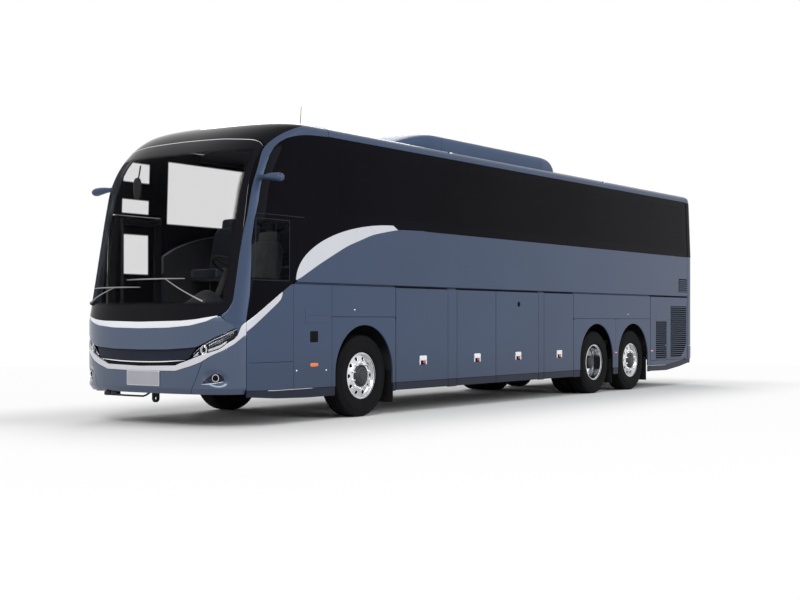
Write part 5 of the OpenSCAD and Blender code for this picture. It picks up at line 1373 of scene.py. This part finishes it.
# One tenth of the disc: rays from the hand hole's middle run out to the sector's border, in
# angle times radius and radius. The rows go from the border behind, over the hole's edge, to the
# border in front; on the inner and outer circle the two borders are joined.
def discPart(centre, side, deep, thick=0.012):
    inner, outer = wheel["hubR"] - 0.03, wheel["discR"]
    rays = 48
    t = np.linspace(0, 2 * math.pi, rays, endpoint=False) + math.pi / rays
    halfWide = math.pi / wheel["holes"] * wheel["holeAt"]
    ca, sa = np.cos(t), np.sin(t)
    reach = np.minimum(halfWide / np.maximum(np.abs(ca), 1e-9),
        np.where(sa > 0, (outer - wheel["holeAt"]) / np.maximum(sa, 1e-9),
            (wheel["holeAt"] - inner) / np.maximum(-sa, 1e-9)))
    # Corners of the sector are hit by moving the nearest rays onto them.
    for cx, cy in ((halfWide, outer - wheel["holeAt"]), (-halfWide, outer - wheel["holeAt"]),
            (halfWide, inner - wheel["holeAt"]), (-halfWide, inner - wheel["holeAt"])):
        k = int(np.argmin(np.abs(np.angle(np.exp(1j * (t - math.atan2(cy, cx)))))))
        t[k] = math.atan2(cy, cx)
        reach[k] = math.hypot(cx, cy)
        ca[k], sa[k] = math.cos(t[k]), math.sin(t[k])
    # Rays within the same half land on the border at matching heights on both sides.
    share = np.array([1.0, 0.66, 0.35, 0.12, 0.0, 0.0, 0.03, 0.10, 0.35, 0.66, 1.0])
    front = np.array([0, 0, 0, 0, 0, 0.75, 0.95, 1, 1, 1, 1.0])
    dist = wheel["holeR"] + (reach[None] - wheel["holeR"]) * share[:, None]
    across, up = dist * ca[None], dist * sa[None]
    r = wheel["holeAt"] + up
    x = discFace(r, deep) - thick * (1 - front[:, None])
    base = across / wheel["holeAt"]
    parts = []
    cells = gridFaces(len(share), rays, False, True)
    onCircle = (np.abs(r[-1] - outer) < 1e-6) | (np.abs(r[-1] - inner) < 1e-6)
    follow = np.roll(np.arange(rays), -1)
    both = np.nonzero(onCircle & onCircle[follow] & (np.abs(r[-1] - r[-1][follow]) < 1e-6))[0]
    last = (len(share) - 1) * rays
    joint = np.stack([last + both, last + follow[both], follow[both], both], -1)
    faces = np.concatenate([cells, joint])
    for k in range(wheel["holes"]):
        angle = base + 2 * math.pi * k / wheel["holes"]
        points = np.stack([side * x, r * np.cos(angle), r * np.sin(angle)], -1).reshape(-1, 3)
        parts.append((points + centre, faces))
    return parts


# Rim round the disc: barrel, bead seats and the rolled flanges, as one closed lathe profile.
def barrelPart(centre, side, deep):
    root = float(discFace(np.array(0.262), deep))
    front = [(root + 0.004, 0.258), (root + 0.012, 0.264), (min(root + 0.05, 0.10), 0.268), (0.112, 0.271),
        (0.12, 0.277), (0.1235, 0.287), (0.1225, 0.2925), (0.1265, 0.2945), (0.1305, 0.2915),
        (0.131, 0.284)]
    outer = [(0.1285, 0.2955), (0.118, 0.2945), (0.115, 0.2865), (0.07, 0.2845), (0.03, 0.268),
        (-0.03, 0.268), (-0.07, 0.2845), (-0.115, 0.2865), (-0.12, 0.295), (-0.13, 0.293), (-0.128, 0.28),
        (-0.10, 0.272), (-0.06, 0.27), (-0.03, 0.256), (root - 0.03, 0.256), (root - 0.016, 0.254),
        (root + 0.004, 0.258)]
    return turnedX(front + outer, centre, 96, side)


# Ten nuts with washers and domed caps, on the ring inside the hand holes.
def nutParts(centre, side, deep, at=0.168):
    parts = []
    for k in range(wheel["holes"]):
        a = math.pi / wheel["holes"] * (2 * k + 1)
        place = np.asarray(centre) + (side * (deep - 0.003), at * math.cos(a), at * math.sin(a))
        nut = [(0, 0.0), (0, 0.019), (0.004, 0.019), (0.005, 0.0155), (0.018, 0.0155), (0.021, 0.013),
            (0.026, 0.0115), (0.034, 0.0105), (0.039, 0.007), (0.040, 0.0)]
        parts.append(turnedX(nut, place, 12, side))
    return parts


# Hub: a ring at the disc, then the dark drum that stands out, with a flat bolted cap.
def hubParts(centre, side, deep, out, big):
    ring = [(deep - 0.02, 0.0), (deep - 0.02, 0.144), (deep + 0.006, 0.144), (deep + 0.010, 0.139),
        (deep + 0.010, big + 0.012), (deep + 0.016, big + 0.004), (out - 0.022, big - 0.004),
        (out - 0.008, big - 0.012), (out - 0.001, big - 0.028), (out - 0.001, big * 0.55),
        (out + 0.006, big * 0.5), (out + 0.008, big * 0.3), (out + 0.008, 0.0)]
    parts = [turnedX(ring, centre, 72, side)]
    for k in range(8):
        a = 2 * math.pi * (k + 0.5) / 8
        place = np.asarray(centre) + (side * (out - 0.004), (big - 0.038) * math.cos(a),
            (big - 0.038) * math.sin(a))
        parts.append(turnedX([(0, 0), (0, 0.0085), (0.009, 0.008), (0.011, 0.005), (0.011, 0)],
                place, 10, side))
    return parts


# Y of each axle and X of its wheels' middle.
axles = {"front": (-3.95, 1.09), "drive": (2.5, 0.925), "tag": (3.9, 1.09)}
for axleName, (y, x) in axles.items():
    for word, s in (("left", 1), ("right", -1)):
        bodyName = ("wheels_" if axleName == "drive" else "wheel_") + axleName + "_" + word
        tag = axleName.title() + word.title()
        twin = axleName == "drive"
        centres = [(s * (x + 0.165), y, wheel["r"]),
            (s * (x - 0.165), y, wheel["r"])] if twin else [(s * x, y, wheel["r"])]
        tyres = piece("tyre" + tag, [tyrePart(np.array(c)) for c in centres], "tyreRubber",
            bodyName, 25)
        deep = -0.105 if twin else 0.118
        hubOut = 0.085 if twin else 0.148
        rimParts = discPart(np.array(centres[0]), s, deep) + [barrelPart(centres[0], s, deep)]
        if twin:
            rimParts += [barrelPart(centres[1], -s, -0.105)] + discPart(np.array(centres[1]), -s, -0.105)
        rims = piece("rim" + tag, rimParts, "alloy", bodyName, 30)
        piece("nuts" + tag, nutParts(centres[0], s, deep), "chrome", bodyName)
        piece("hub" + tag, hubParts(centres[0], s, deep, hubOut, 0.122 if not twin else 0.112),
            "castHub", bodyName)
        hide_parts(("tyres_drive_" if twin else "tyre_%s_" % axleName) + word)
        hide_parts(("rims_drive_" if twin else "rim_%s_" % axleName) + word)
print("wheels made")

# Camera mirrors: an arm carried along a path from the pillar, swelling into a pod that droops.
mirrorFoot = nosePoint(np.array(0.97), np.array(2.87))
armParts, podFaces = [], []
for s in (1, -1):
    t = np.linspace(0, 1, 26)[:, None]
    start, middle, stop = mirrorFoot + (-0.02, 0.0, 0.0), mirrorFoot + (0.16, -0.05,
        0.012), np.array([1.585, mirrorFoot[1] - 0.022, 2.85])
    path = start * (1 - t) ** 2 + 2 * middle * t * (1 - t) + stop * t ** 2
    radius = np.interp(t[:, 0], [0, 0.12, 0.3, 0.62, 0.85, 0.95, 0.985, 1.0],
        [0.052, 0.038, 0.038, 0.058, 0.066, 0.058, 0.042, 0.016])
    armParts.append(onSide(s, tube(path, radius, 24, 0.78)))
    face = turnedAlong([(0.0, 0.0), (0.0, 0.021), (0.006, 0.0205), (0.009, 0.014), (0.0105, 0.0)],
        (1.54, mirrorFoot[1] + 0.028, 2.855), (0.1, 1, -0.15), 24)
    podFaces.append(onSide(s, face))
mirrorArms = piece("mirrorArms", armParts, "slatePaint", "body", sharp=60)
piece("mirrorLenses", podFaces, "domeBlack", "body")

# Wipers: a foot with its cap, a bent arm, and a blade that follows the glass.
wiper = [((0.91, 1.435), (0.35, 1.70), (-0.30, 0.62, 1.70)),
    ((-1.02, 1.435), (-0.52, 1.61), (-1.0, -0.06, 1.61))]


# Point over the windscreen at x and z, off metres in front of the glass.
def onGlass(x, z, off):
    r = np.asarray(x) / halfWidth(z)
    return noseInside(r, np.asarray(z, float), np.asarray(-off) + 0 * r)


armParts, bladeParts, footParts = [], [], []
for foot, elbow, (x0, x1, bladeZ) in wiper:
    t = np.linspace(0, 1, 18)
    armX, armZ = foot[0] + (elbow[0] - foot[0]) * t, foot[1] + (elbow[1] - foot[1]) * t
    armPath = onGlass(armX, armZ, 0.022 + 0.016 * np.sin(np.pi * t))
    armParts.append(tube(armPath, np.interp(t, [0, 0.3, 1], [0.014, 0.010, 0.007]), 8, 0.7))
    sweepX = np.linspace(x0, x1, 30)
    arch = 1 - ((sweepX - (x0 + x1) / 2) / ((x1 - x0) / 2)) ** 2
    bladeParts.append(tube(onGlass(sweepX, bladeZ + 0 * sweepX, 0.008), 0.0055, 6))
    armParts.append(tube(onGlass(sweepX, bladeZ + 0.004 + 0.004 * arch, 0.014 + 0.007 * arch),
            0.0045 + 0.003 * arch, 6))
    base = onGlass(np.array(foot[0]), np.array(foot[1]), 0.0)
    facing = noseOut(np.array(foot[0] / shape["half"]))
    footParts.append(turnedAlong([(-0.002, 0.0), (-0.002, 0.03), (0.01, 0.028), (0.03, 0.021),
            (0.036, 0.012), (0.038, 0.0)], base, facing, 24))
piece("wiperArms", armParts, "wiperGrey", "body")
piece("wiperBlades", bladeParts, "softRubber", "body")
wiperFeet = piece("wiperFeet", footParts, "blackTrim", "body")


# A low pad on the side skin: rounded block at length y, height z.
def sidePad(s, y, z, wide, tall, proud, sink=0.006, power=0.4, count=10):
    x = s * float(sidePoint(1, np.array(y), np.array(z))[0])
    xs = sorted((x - s * sink, x + s * (skinLift + proud)))
    return softBlock((xs[0], y - wide / 2, z - tall / 2), (xs[1], y + wide / 2, z + tall / 2), power, count)


ambers, reds, locks, caps, hatches = [], [], [], [], []
for s in (1, -1):
    ambers.append(sidePad(s, -4.965, 0.69, 0.15, 0.045, 0.008))
    for y in (3.2, 4.665):
        reds.append(sidePad(s, y, 0.672, 0.125, 0.028, 0.007))
        locks.append(sidePad(s, y, 0.672, 0.02, 0.02, 0.012, count=8))
    for y, z in ((-4.16, 1.36), (3.69, 1.33), (-4.73, 0.62), (-5.29, 0.63)):
        x = s * (shape["half"] + skinLift - 0.001)
        if s < 0 and y < -5.06:
            continue
        locks.append(turnedAlong([(-0.002, 0.0), (-0.002, 0.011), (0.002, 0.0105), (0.003, 0.008),
                (0.0015, 0.006), (0.002, 0.0)], (x, y, z), (s, 0, 0), 16))
    x = s * (shape["half"] + skinLift - 0.001)
    if s > 0:
        caps.append(turnedAlong([(-0.004, 0.0), (-0.004, 0.041), (0.002, 0.04), (0.006, 0.034),
                (0.003, 0.03), (0.003, 0.012), (0.009, 0.01), (0.009, 0.0)], (x, -0.09, 1.47),
                (s, 0, 0), 32))
    hatches.append(sidePad(s, -4.965, 1.03, 0.15, 0.135, 0.003, 0.01, 0.15))
piece("sideAmbers", ambers, "amberLens", "body")
piece("sideReds", reds, "redLens", "body")
piece("panelLocks", locks, "chrome", "body")
piece("fillerCap", caps, "gapBlack", "luggage_flap_left_3")
piece("sideSockets", hatches, "gapBlack", "body")
recess = [sidePanel(1, -5.13, -4.74, z0, z1, skinLift + 0.0035, 0.004, 0.002, 0.1) for z0,
    z1 in ((1.195, 1.283), (1.287, 1.378))]
piece("serviceHatch", recess, "slatePaint", "body")
# Air outlet high in the rear corner: slats over a near-black sheet that is painted shade for the outlet's
# recess.
ventShadeParts, ventSlats = [], []
for s in (1, -1):
    ventShadeParts.append(sidePanel(s, 5.87, 6.27, 1.755, 2.01, 0.0035, 0.006, 0.004, 0.05))
    for k in range(6):
        ventSlats.append(sidePanel(s, 5.885, 6.255, 1.77 + 0.039 * k, 1.789 + 0.039 * k, 0.0085, 0.01,
                0.004, 0.1, 3))
piece("ventShadeSheets", ventShadeParts, "gapBlack", "body")
piece("ventSlats", ventSlats, "slatePaint", "body")

# Seal strips in dark satin that frame the driver's sliding window, and its rail.
driverRim = [(-6.03, 1.69), (-5.42, 1.69), (-5.42, 2.40), (-5.965, 2.40), (-6.03, 1.69)]
rimParts = (sideTubes(1, driverRim, 0.0055, 6, 20, 0.001)
            + sideTubes(1, [(-5.96, 2.455), (-5.15, 2.455)], 0.005, 6, 20, 0.001)
            + sideTubes(1, [(-5.66, 1.69), (-5.66, 2.40)], 0.004, 6, 20, 0.0))
piece("driverRim", rimParts, "grilleSatin", "body")
print("fittings made")

# A stuffed form: a superellipsoid crowned on its faces, drawn in along sewn channels that run up
# it, then tilted about the X axis.
def stuffed(centre, size, tilt, channels=(), depth=0.008, power=0.42, count=16, bolster=0.0):
    u = np.linspace(-math.pi, math.pi, 2 * count, endpoint=False)
    v = np.linspace(-math.pi / 2, math.pi / 2, count)
    vv, uu = np.meshgrid(v, u, indexing="ij")
    bend = lambda a: np.sign(a) * np.abs(a) ** power
    x, y, z = bend(np.cos(vv)) * bend(np.cos(uu)), bend(np.cos(vv)) * bend(np.sin(uu)), bend(np.sin(vv))
    crown = 1 + 0.16 * (1 - x ** 2) * (1 - y ** 2)
    sunk = sum(np.exp(-((x - c) / 0.09) ** 2) for c in channels) if channels else 0 * x
    z = z * (crown - depth / (size[2] / 2) * sunk + bolster * np.abs(x) ** 4)
    points = np.stack([x * size[0] / 2, y * size[1] / 2, z * size[2] / 2], -1).reshape(-1, 3)
    c, s = math.cos(tilt), math.sin(tilt)
    points = points @ np.array([[1, 0, 0], [0, c, s], [0, -s, c]])
    return points + centre, gridFaces(count, 2 * count, False, True)


# One seat: cushion, back and headrest round the line of the solid it stands for.
def seatParts(x, y, z, wide, count):
    cloth = [stuffed((x, y + 0.27, z + 0.385), (wide, 0.47, 0.135), math.radians(-3.5), (-0.45, 0.0, 0.45),
            count=count, bolster=0.25), stuffed((x, y + 0.535, z + 0.715), (wide, 0.66, 0.115),
            math.radians(78.5), (-0.45, 0.0, 0.45), count=count, bolster=0.3),
        stuffed((x, y + 0.632, z + 1.085), (wide * 0.62, 0.15, 0.075), math.radians(82), (),
            count=max(10, count - 4))]
    return cloth


seat = {"rows": 13, "pitch": 0.79, "firstY": -4.65, "deck": 1.45, "x": (0.53, 0.98), "wide": 0.432}
cloth, shells, legs = [], [], []
for k in range(seat["rows"]):
    y = seat["firstY"] + k * seat["pitch"]
    for s in (1, -1):
        for x in seat["x"]:
            cloth += seatParts(s * x, y, seat["deck"], seat["wide"], 14)
        shells.append(softBlock((s * 0.755 - 0.44, y + 0.02, seat["deck"] + 0.285),
                (s * 0.755 + 0.44, y + 0.5, seat["deck"] + 0.335), 0.3, 10))
        for x in (0.62, 0.9):
            legs.append(softBlock((s * x - 0.02, y + 0.15, seat["deck"] + 0.002),
                    (s * x + 0.02, y + 0.4, seat["deck"] + 0.30), 0.2, 8))
        armX = s * 0.305
        legs.append(tube([(armX, y + 0.5, seat["deck"] + 0.62), (armX, y + 0.3, seat["deck"] + 0.64),
                (armX, y + 0.16, seat["deck"] + 0.60)], 0.018, 8, 0.8))
passengerSeats = piece("passengerSeats", cloth, "seatCloth", "body", 60)
piece("seatShells", shells, "moulded", "body")
piece("seatLegs", legs, "underIron", "body")
driverSeat = piece("driverSeat", seatParts(0.675, -5.73, 1.15, 0.49, 30), "driverCloth",
    "body", 60)
piece("driverBase", [softBlock((0.545, -5.57, 1.152), (0.805, -5.32, 1.46), 0.25, 12)], "moulded", "body")
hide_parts("passenger_seats")
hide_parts("driver_seat")
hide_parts("camera_mirrors")
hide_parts("wipers")


# Lining: sheets a hand's width inside the skin, over the ceiling and along the sides.
def liningSide(s, y0, y1, z0, z1):
    base = sideSurface(s, y0, y1, z0, z1)
    return lambda u, v: base(u, v) - np.array([s * 0.045, 0, 0])


liningParts = [panel(liningSide(s, -4.0 if s > 0 else -5.03, 6.2, 1.46,
        lambda y: np.where(y < sweep["y1"], sweepHigh(y) - 0.006, 2.425)), 10, 0.95, 50, 6, 0.004, 0.001)
    for s in (1, -1)]
# The ceiling: the roof's section drawn in by a hand's width.
liningParts.append(panel(lambda u, v: np.stack([1.17 * np.sin((2 * u - 1) * math.pi / 2),
        -4.4 + 10.6 * v + 0 * u, 3.36 + 0.19 * np.abs(np.cos((2 * u - 1) * math.pi / 2)) ** 0.6], -1), 2.3,
        10.6, 30, 40, 0.01, 0.001))
rackParts = []
for s in (1, -1):
    rackParts.append(prism([(s * 0.72, 3.17), (s * 0.75, 3.14), (s * 1.19, 3.06), (s * 1.19, 3.09),
            (s * 0.76, 3.175), (s * 0.745, 3.25), (s * 0.72, 3.25)][::s], 1, -3.2, 6.0, 0.002))
piece("cabinLining", liningParts, "headLining", "body")
piece("luggageRacks", rackParts, "moulded", "body")


# Dash cowl: u goes across and v back; a low arch over v, and a hood, a bell over u, in front of
# the driver.
def cowl(u, v):
    hood = 0.17 * np.exp(-((u - 0.77) / 0.16) ** 2) * np.sin(math.pi * np.clip(v * 1.1, 0, 1))
    return np.stack([-0.42 + 1.34 * u, -6.36 + 0.5 * v + 0 * u, 1.36 + 0.2 * v * (1 - v) + hood], -1)


piece("dashCowl", panel(cowl, 1.34, 0.5, 40, 20, 0.02, 0.006), "moulded", "body")
# A drop-shaped mirror that hangs inside the top of the windscreen.
hangStem = [(-0.60, -6.02, 3.12), (-0.60, -6.04, 3.02), (-0.60, -6.06, 2.95)]
piece("cabMirror", [tube(hangStem, 0.009, 8), softBlock((-0.67, -6.09, 2.70), (-0.53, -6.055, 2.97), 0.75,
        18)], "blackTrim", "body")
print("inside made")

# Finishes for the solids that keep their shapes. The flaps, engine lid and radiator door take near-black so
# that the gaps round their skins read dark: painted shade.
dressed = {"underIron": ["chassis_frame", "front_axle", "drive_axle", "tag_axle", "engine_block"],
    "castHub": ["knuckle_left", "knuckle_right", "tie_rod"],
    "moulded": ["cabin_floor", "luggage_hold", "dashboard", "entry_steps"],
    "softRubber": ["mudflaps", "steering_wheel"], "blackTrim": ["door_arm", "passenger_door"],
    "gapBlack": ["radiator_door", "engine_lid"] + [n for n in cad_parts
        if n.startswith("luggage_flap")]}
for finishName, names in dressed.items():
    for name in names:
        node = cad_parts[name]
        for slotHere in node.material_slots:
            slotHere.material = finishes[finishName]
print("solids dressed")

# The finished skins stand for these solids; the others keep their shapes and take a finish.
stands = {"bumperSkin": ["front_bumper"], "noseMask": ["front_mask"], "grilleField": ["front_grille"],
    "lampWell": ["headlights"], "windscreenGlass": ["windscreen"], "pillars": ["front_pillars"],
    "domeShell": ["front_dome"], "roofSkin": ["roof"], "podShell": ["ac_unit"],
    "sideSkins": ["skirt_panels"], "upperWall": ["side_walls"], "sideGlassLeft": ["side_windows"],
    "tailSkin": ["rear_wall"], "rearGlass": ["rear_window"], "tailBumper": ["rear_bumper"],
    "tailLampRed": ["tail_lamps"], "doorGlass": ["door_window"]}
for pieceName, solids in stands.items():
    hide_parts(*solids)


# Camera, lamps, floor and background.
camera = bpy.data.objects.new("camera", bpy.data.cameras.new("camera"))
bpy.context.collection.objects.link(camera)
camera.location = (11.168, -17.011, 1.232)
camera.rotation_euler = (math.radians(90), 0, math.radians(35.576))
camera.data.lens = 58
camera.data.sensor_width = 36
camera.data.shift_y = 0.0249
camera.data.clip_end = 400
bpy.context.scene.camera = camera

lampKit = [("key", (9, -22, 15), (0, -2, 1.2), 10, 2300, (1.0, 0.985, 0.96)),
           ("fill", (20, 2, 9), (0, 0, 1.5), 12, 1300, (0.94, 0.97, 1.0)),
           ("back", (-14, 16, 12), (0, 0, 2.0), 12, 1500, (1.0, 1.0, 1.0))]
for name, place, target, size, power, tint in lampKit:
    lampData = bpy.data.lights.new(name, "AREA")
    lampData.shape = "DISK"
    lampData.size = size
    lampData.energy = power
    lampData.color = tint
    lampObject = bpy.data.objects.new(name, lampData)
    lampObject.location = place
    lampObject.rotation_euler = (Vector(target) - Vector(place)).to_track_quat("-Z", "Y").to_euler()
    bpy.context.collection.objects.link(lampObject)

ground = bpy.data.meshes.new("ground")
reach = 120.0
ground.from_pydata([(-reach, -reach, 0), (reach, -reach, 0), (reach, reach, 0), (-reach, reach, 0)], [],
    [(0, 1, 2, 3)])
groundObject = bpy.data.objects.new("ground", ground)
bpy.context.collection.objects.link(groundObject)
floorFinish = finish("paleFloor", (0.86, 0.86, 0.86), 0.85, 0.0, (0.3, 0.015), (40, 0.05), level=0.05)
ground.materials.append(floorFinish)
# Far from the object the floor glows white, for the camera and for reflections, so that it runs
# into the backdrop without a line.
tree = floorFinish.node_tree
place = next(n for n in tree.nodes if n.type == "TEX_COORD").outputs["Object"]


# One vector node of the named kind.
def vectorMath(kind, *values):
    return addNode(tree, "VectorMath", dict(enumerate(values)), operation=kind)


far = softRise(tree, vectorMath("LENGTH", place).outputs["Value"], 9.0, 19.0, 1.0)
# Nearer, it lightens with the distance from the object's outline, so that only its shadow stays.
beyond = vectorMath("SUBTRACT", vectorMath("ABSOLUTE", place).outputs[0], (1.5, 6.7, 5.0)).outputs[0]
outside = vectorMath("MAXIMUM", beyond, (0, 0, 0)).outputs[0]
near = softRise(tree, vectorMath("LENGTH", outside).outputs["Value"], 0.0, 2.6, 0.9)
glow = addNode(tree, "Emission", {"Color": (1, 1, 1, 1)}).outputs[0]
mixer = addNode(tree, "MixShader", {"Fac": mathNode(tree, "MULTIPLY", seenRays(tree),
        mathNode(tree, "MAXIMUM", far, near)), 1: tree.nodes["Principled BSDF"].outputs[0], 2: glow})
tree.links.new(mixer.outputs[0], tree.nodes["Material Output"].inputs["Surface"])

world = bpy.data.worlds.new("softRoom")
world.use_nodes = True
bpy.context.scene.world = world
tree = world.node_tree
background = tree.nodes["Background"]
background.inputs["Color"].default_value = (1, 1, 1, 1)
level = addNode(tree, "MapRange", {"Value": seenRays(tree), "To Min": 0.62, "To Max": 1.0})
tree.links.new(level.outputs["Result"], background.inputs["Strength"])

bpy.context.scene.view_settings.view_transform = "Standard"

print("scene ready")
